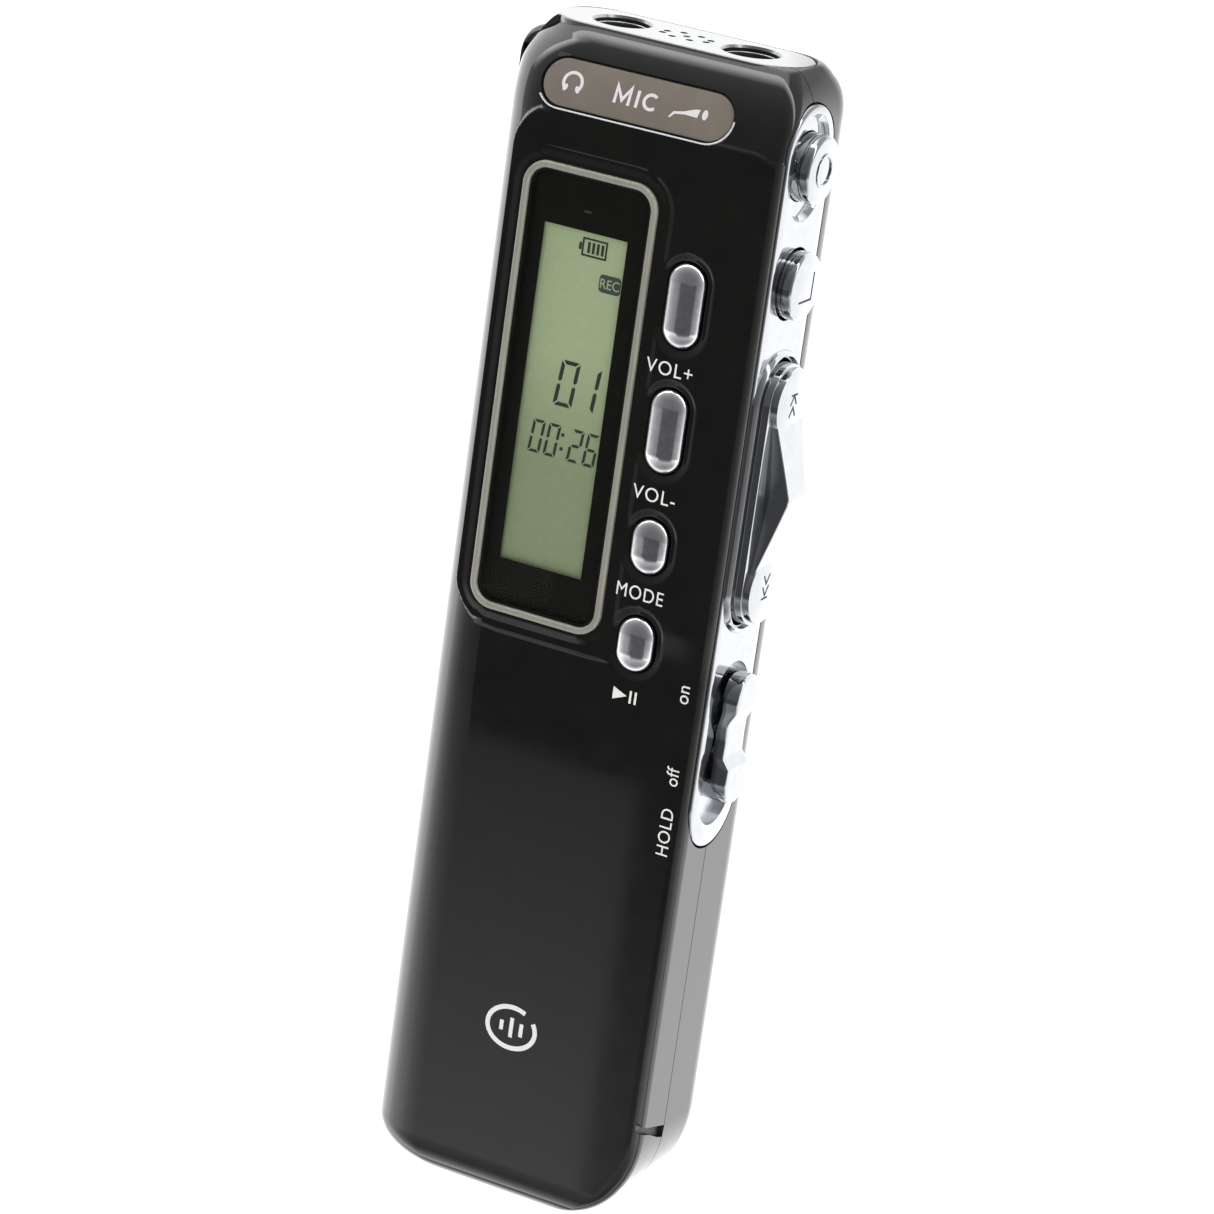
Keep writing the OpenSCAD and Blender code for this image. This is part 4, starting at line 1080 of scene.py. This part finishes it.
KNOB_LOW, KNOB_HIGH = box("hold_knob")
KNOB_R = 2.15
KNOB_Y = (KNOB_LOW[1] + KNOB_HIGH[1]) / 2
KNOB_DIP = 14.65    # height of the dip under the thumb
POCKET_FLOOR = HALF_W - 0.65
STEM_HALF, KNOB_TRAVEL = 3, 1.9


def build_knob():
    def top(v):
        y = v + KNOB_Y
        drop = float(smooth((-2.2 - y) / 1.7)) if y > -6.6 else float(np.clip((y + 7.4) / 0.8, 0, 1))
        return KNOB_HIGH[0] - (KNOB_HIGH[0] - KNOB_DIP) * drop

    half = waisted((KNOB_HIGH[1] - KNOB_LOW[1]) / 2 - KNOB_R, KNOB_R, 1.9, middle_steps=90)
    profile = [(-0.02, 1.0), (-0.06, 0.3), (-0.1, 0.12), (-0.16, 0.04), (-0.26, 0.0)]
    knob = ridge(half, profile, POCKET_FLOOR + 0.06, top, beside(TRIM_Z, KNOB_Y))
    piece("hold_slider", knob, CHROME_WITH_PAINTED_SHADE, "hold_knob", "hold_knob")
    fork = block((11.1, KNOB_Y - 0.6, TRIM_Z - 1), (12.1, KNOB_Y + 0.6, TRIM_Z - 0.6))
    stem = block((12.0, KNOB_Y - STEM_HALF, TRIM_Z - 1), (POCKET_FLOOR + 0.1, KNOB_Y + STEM_HALF, TRIM_Z + 1))
    piece("hold_stem", merged(fork, stem), JACK_BLACK, "hold_knob", smooth=False)


def pocket_outline(grow=0.0):
    """Outline of the pocket the knob slides in: two unequal round ends, with a waist nearer the upper one."""
    half = ellipse_arc(0, -10.2, 2.95, 2.95, -90, 0, 14)
    half += [(2.95 - 0.83 * float(smooth((y + 8.2) / 3.3)), y) for y in np.linspace(-8.2, -4.7, 14)]
    half += ellipse_arc(0, -1.98, 3.3, 3.3, -46, 90, 24)
    points = [(u - TRIM_Z, v) for u, v in half] + [(-u - TRIM_Z, v) for u, v in reversed(half)]
    return [p for k, p in enumerate(points) if math.dist(p, points[k - 1]) > 1e-4]


def build_trim():
    outline = slot_outline(-TRIM_Z, TRIM_Y, TRIM_HALF, TRIM_R, 40)
    levels = [(0, TRIM_IN + 0.02)] + rising(TRIM_OUT, (0, -0.24), (-0.04, -0.12), (-0.12, -0.04), (-0.26, 0))
    made = piece("trim_plate", loft(outline, levels, on_side), None, None)
    record_y, stop_y = middle("record_key")[1], middle("stop_key")[1]
    well = slot_outline(-TRIM_Z, 43.45, 4.45, 3.1, 28)
    through = [(0, TRIM_IN - 1), (0, TRIM_OUT - 0.25), (0.12, TRIM_OUT), (0.12, TRIM_OUT + 1)]
    for cut in (
        loft(well, rising(TRIM_OUT, (-0.35, -0.5), (0.0, -0.05), (0.0, 1)), on_side),
        prism(circle(-TRIM_Z, record_y, SIDE_KEY_R + 0.1, 64), TRIM_IN - 1, TRIM_OUT + 1, on_side),
        loft(circle(-TRIM_Z, stop_y, SIDE_KEY_R + 0.1, 64), through, on_side),
        prism(rocker_slot(0.3, 28), TRIM_IN - 1, TRIM_OUT + 1, on_side),
        prism(pocket_outline, POCKET_FLOOR, TRIM_OUT + 1, on_side),
        block((TRIM_IN - 1, KNOB_Y - STEM_HALF - KNOB_TRAVEL - 0.2, TRIM_Z - 1.2),
              (POCKET_FLOOR + 0.5, KNOB_Y + STEM_HALF + 0.2, TRIM_Z + 1.2)),
    ):
        carve(made, [cut])
    tidy(made, angle=30)
    paint(made, CHROME_WITH_PAINTED_SHADE)
    made.data.materials.append(TINNED)
    for face in made.data.polygons:
        x, y, _ = face.center / MM
        face.material_index = int(face.normal.x > 0.7 and x < POCKET_FLOOR + 0.1 and -14 < y < 2)
    settle(made, "case", "side_trim")
    rim = rising(TRIM_OUT, (0.98, -0.1), (0.96, 0), (0.74, 0.38), (0.67, 0.44), (0.58, 0.45), (0.5, 0.4), (0.42, 0.1),
                 (0.26, -0.2), (0.26, -0.6), (0.6, -0.6))
    piece("rocker_rim", loft(rocker_slot(0, 36), rim, on_side, closed=True), CHROME_WITH_PAINTED_SHADE, "case")


# ---------- socket end ----------

SOCKET_X = abs(middle("headphone_jack")[0])
MIC_HOLE_R, SOCKET_R = 0.32, 2.38


def socket_shapes(radius, steps, levels):
    """The same shape about each socket, with heights from the end of the casing."""
    return [loft(circle(s * SOCKET_X, CAP_Z, radius, steps), rising(HALF_L, *levels), on_top, closed=True)
            for s in (-1, 1)]


def build_cap():
    outline = wide_slot(CAP_HALF, CAP_R, v=CAP_Z)
    levels = rising(HALF_L, (0, -0.78), (0, -0.16), (-0.05, -0.05), (-0.16, 0.02))
    made = piece("cap_plate", loft(outline, levels, on_top), None, None)
    spots = [(0, 0)] + [(s * u, t * v) for u, v in ((2, 0.45), (0.8, 1.1)) for s in (-1, 1) for t in (-1, 1)]
    carve(made, [prism(circle(u, CAP_Z + v, MIC_HOLE_R, 20), HALF_L - 2, HALF_L + 1, on_top) for u, v in spots])
    mouth = rising(HALF_L, (0, -2), (0, -0.2), (0.14, 0.03), (0.14, 1))
    carve(made, [loft(circle(s * SOCKET_X, CAP_Z, SOCKET_R, 56), mouth, on_top) for s in (-1, 1)])
    tidy(made, angle=30)
    paint(made, SATIN_SILVER_WITH_PAINTED_SHADE)
    made.data.materials.append(PAINTED_HOLE_SHADE)
    holes = [(-u, CAP_Z + v, MIC_HOLE_R + 0.02) for u, v in spots]
    holes += [(s * SOCKET_X, CAP_Z, SOCKET_R + 0.04) for s in (-1, 1)]
    # The walls of the mic holes and socket mouths take the near-black finish: painted shade in the holes.
    for face in made.data.polygons:
        x, _, z = face.center / MM
        inside = any(math.hypot(x - hx, z - hz) < r for hx, hz, r in holes)
        face.material_index = int(inside and abs(face.normal.y) < 0.7)
    settle(made, "case", "top_cap")
    tubes = socket_shapes(2.46, 48, [(0, -3.2), (0, -0.62), (-0.08, -0.56), (-0.2, -0.6), (-0.3, -1.4), (-0.5, -1.5),
                                     (-0.6, -3.2)])
    piece("socket_tubes", merged(*tubes), JACK_BLACK, "case")
    rings = socket_shapes(2.3, 48, [(0, -0.64), (0, -0.5), (-0.03, -0.47), (-0.08, -0.47), (-0.11, -0.5),
                                    (-0.11, -0.64)])
    piece("socket_rings", merged(*rings), TINNED, "case")


# ---------- legends ----------

WORDS = (    # word, height of its capitals, width, centre, turn, spacing
    ("VOL+", 1.16, 0.96, (6.2, 25.7), 0, 1.12), ("VOL-", 1.18, 0.96, (6.45, 15.0), 0, 1.12),
    ("MODE", 1.17, 0.88, (6.45, 6.5), 0, 1.1), ("on", 1.15, 0.95, (11.75, -0.95), 90, 1.05),
    ("off", 1.12, 0.9, (11.7, -8.15), 90, 1.05), ("HOLD", 1.1, 0.93, (11.75, -13.1), 90, 1.08),
)
SIGN_X, SIGN_Y = 0.23, -34.5    # middle of the ring with three bars


def build_legends():
    ink = (0.0, 0.015, printed)
    meshes = [text_mesh(word, size, wide, printed, at, turn, track) for word, size, wide, at, turn, track in WORDS]
    meshes.append(plate([(5.25, -3.05), (6.55, -2.5), (5.25, -1.95)], *ink))
    meshes += [rectangle(u, -3.05, u + 0.2, -1.95, *ink) for u in (6.78, 7.25)]
    meshes.append(strip(ellipse_arc(SIGN_X, SIGN_Y, 2.3, 1.85, 60, 390, 44), 0.42, *ink))
    meshes += [strip([(SIGN_X + u, SIGN_Y - high), (SIGN_X + u, SIGN_Y + high)], 0.36, *ink)
               for u, high in ((-0.95, 0.45), (0.0, 0.9), (0.95, 0.6))]
    piece("legends", merged(*meshes), WHITE_PRINT, "case", smooth=False)


build_front()
build_rear()
build_display()
build_label()
build_front_keys()
build_side_keys()
build_rocker()
build_knob()
build_trim()
build_cap()
build_legends()

# ---------- CAD nodes that stay ----------

LOOKS = {
    (MASK_BLACK, "window_border"): ("display_mask",),
    (LCD_GREEN, "lcd_green_grey"): ("lcd_glass",),
    (GUIDE, "light_guide"): ("lcd_backlight",),
    (RUBBER, "rubber_dark"): ("lcd_connector", "mic_boot"),
    (SILICONE, "silicone"): ("key_mat",),
    (STEEL, "spring_steel"): ("rocker_pin", "battery_springs", "battery_bridge", "case_screws"),
    (BOARD, "board_green"): ("main_board",),
    (TINNED, "tinned_metal"): ("front_switches", "side_switches", "hold_switch", "usb_socket", "microphone",
                               "clock_crystal"),
    (TINNED, "speaker_metal"): ("speaker",),
    (JACK_BLACK, "jack_black"): ("headphone_jack", "line_in_jack"),
    (FOAM, "foam_grey"): ("speaker_gasket",),
    (CHIP, "chip_black"): ("audio_chip", "flash_chip"),
    (CAP_BODY, "capacitor_body"): ("capacitors",),
    (CELL_WRAP, "cell_wrap"): ("battery_a", "battery_b"),
    (GOLD, "gold_contact"): ("battery_terminals",),
    (LEAD_RED, "lead_red"): ("speaker_leads",),
    (LEAD_WHITE, "lead_white"): ("mic_leads",),
    (LEAD_BLACK, "lead_black"): ("battery_leads",),
}
for (material, slot_name), names in LOOKS.items():
    for node in (NODES[name] for name in names):
        if not node.material_slots:
            node.data.materials.append(material)
        for place in node.material_slots:
            place.link = "OBJECT"
            place.material = material

# ---------- lights and floor ----------

def maths(tree, operation, a, b, clamp=False):
    return add_node(tree, "Math", {0: a, 1: b}, operation=operation, use_clamp=clamp)


def product(tree, first, *others):
    for other in others:
        first = maths(tree, "MULTIPLY", first, other)
    return first


def plane(name, x0, y0, x1, y1, z, surface):
    """A staging plane in metres. surface(tree) gives the output that its material shows."""
    material = bpy.data.materials.new(name)
    material.use_nodes = True
    tree = material.node_tree
    tree.nodes.clear()
    add_node(tree, "OutputMaterial", {"Surface": surface(tree)}, None)
    mesh = bpy.data.meshes.new(name)
    mesh.from_pydata([(x0, y0, z), (x1, y0, z), (x1, y1, z), (x0, y1, z)], [], [(0, 1, 2, 3)])
    mesh.materials.append(material)
    made = bpy.data.objects.new(name, mesh)
    bpy.context.scene.collection.objects.link(made)
    return made


FLOOR_GLOW = 2.1


def floor_surface(tree):
    """White floor: matt where it is seen directly, and like a lit table in reflections, dimmer near two corners."""
    matt = add_node(tree, "BsdfPrincipled", {"Base Color": (0.93, 0.93, 0.93, 1), "Roughness": 0.9,
                                             "Emission Color": (1, 1, 1, 1), "Emission Strength": 0.75})
    x, y, _ = place_axes(tree, "Object")
    corner = product(tree, ranged(tree, x, 0.006, 0.012, 0, 0.7), ranged(tree, y, 0.046, 0.053, 0, 1))
    low_end = product(tree, ranged(tree, x, -0.07, -0.03, 0, 0.8), ranged(tree, y, -0.06, -0.1, 0, 1))
    level = product(tree, maths(tree, "SUBTRACT", FLOOR_GLOW, product(tree, corner, FLOOR_GLOW)),
                    maths(tree, "SUBTRACT", 1.0, low_end))
    seen = add_node(tree, "LightPath", {}, "Is Camera Ray")
    return add_node(tree, "MixShader", {0: seen, 1: add_node(tree, "Emission", {"Strength": level}), 2: matt})


plane("floor", -3, -3, 3, 3, 0, floor_surface).location.z = -0.00002


def card(name, p0, p1, q0, q1, near, far, height=0.6):
    """A dark flag above the object, seen only in reflections. p and q are its extents along X and Y per unit of
    height, and its glow runs from far at q0 to near at q1."""
    def glow(tree):
        level = ranged(tree, place_axes(tree, "Object")["Y"], q0 * height, q1 * height, far, near)
        return add_node(tree, "Emission", {"Strength": level})

    made = plane(name, p0 * height, q0 * height, p1 * height, q1 * height, height, glow)
    made.visible_camera = made.visible_diffuse = made.visible_shadow = made.visible_transmission = False


card("flag_upper", -0.60, 0.55, -0.408, -0.1, 0.1, 0.1)
card("flag_lower", -0.4285, 0.55, -0.7, -0.408, 0.09, 0.62)


def soft_light():
    """A broad key light that lights matt surfaces and makes no highlight of its own."""
    data = bpy.data.lights.new("key", "SUN")
    data.energy = 2.2
    data.angle = math.radians(50)
    made = bpy.data.objects.new("key", data)
    made.rotation_euler = (math.radians(-8), math.radians(22), 0)
    made.visible_glossy = False
    bpy.context.scene.collection.objects.link(made)


soft_light()


CURVE_SCALE = 2.0    # float curves hold values up to 1, so they are drawn at half size


def curve(tree, source, *stops):
    """A value drawn through stops, which are (at, value) pairs. The first two are the curve's own end points."""
    node = add_node(tree, "FloatCurve", {"Value": source}, None)
    points = node.mapping.curves[0].points
    for point, stop in zip(points, stops):
        point.location = stop
    for stop in stops[2:]:
        points.new(*stop)
    for point in points:
        point.handle_type = "VECTOR"
    node.mapping.update()
    return product(tree, node.outputs["Value"], CURVE_SCALE)


FALL, OFFSET = -1.25, -0.25    # bring the direction's Y into the curve's range


def world():
    """Bright near the horizon and dimmer overhead, with a bright patch towards the camera's far side and a dim side
    beyond the socket end."""
    made = bpy.data.worlds.new("studio")
    bpy.context.scene.world = made
    made.use_nodes = True
    tree = made.node_tree
    background = tree.nodes["Background"]
    background.inputs["Color"].default_value = (1, 1, 1, 1)
    _, y, z = place_axes(tree, "Generated")
    height = curve(tree, z, (0.0, 0.875), (1.0, 0.2), (0.1, 0.81), (0.16, 0.725), (0.3, 0.6), (0.45, 0.485),
                   (0.55, 0.4), (0.65, 0.34), (0.75, 0.285), (0.83, 0.25), (0.9, 0.225))
    toward_foot = [(FALL * at + OFFSET, value) for at, value in (
        (-0.2, 0.45), (-1.0, 0.15), (-0.3, 0.3), (-0.325, 0.26), (-0.34, 0.33), (-0.355, 0.4), (-0.37, 0.485),
        (-0.39, 0.6), (-0.41, 0.735), (-0.42, 0.82), (-0.45, 0.7), (-0.6, 0.4), (-0.8, 0.18))]
    patch = curve(tree, maths(tree, "ADD", product(tree, y, FALL), OFFSET, clamp=True), *toward_foot)
    weight = maths(tree, "MULTIPLY", z, 1 / 0.45, clamp=True)
    shaped = maths(tree, "ADD", product(tree, maths(tree, "SUBTRACT", patch, 1.0), weight), 1.0)
    lift = product(tree, ranged(tree, y, 0.2, 0.6, 0.0, 2.6), ranged(tree, z, 0.22, 0.06, 0.0, 1.0))
    far_side = maths(tree, "ADD", ranged(tree, y, -0.34, -0.2, 1.0, 0.45), lift)
    tree.links.new(product(tree, height, shaped, far_side), background.inputs["Strength"])


world()
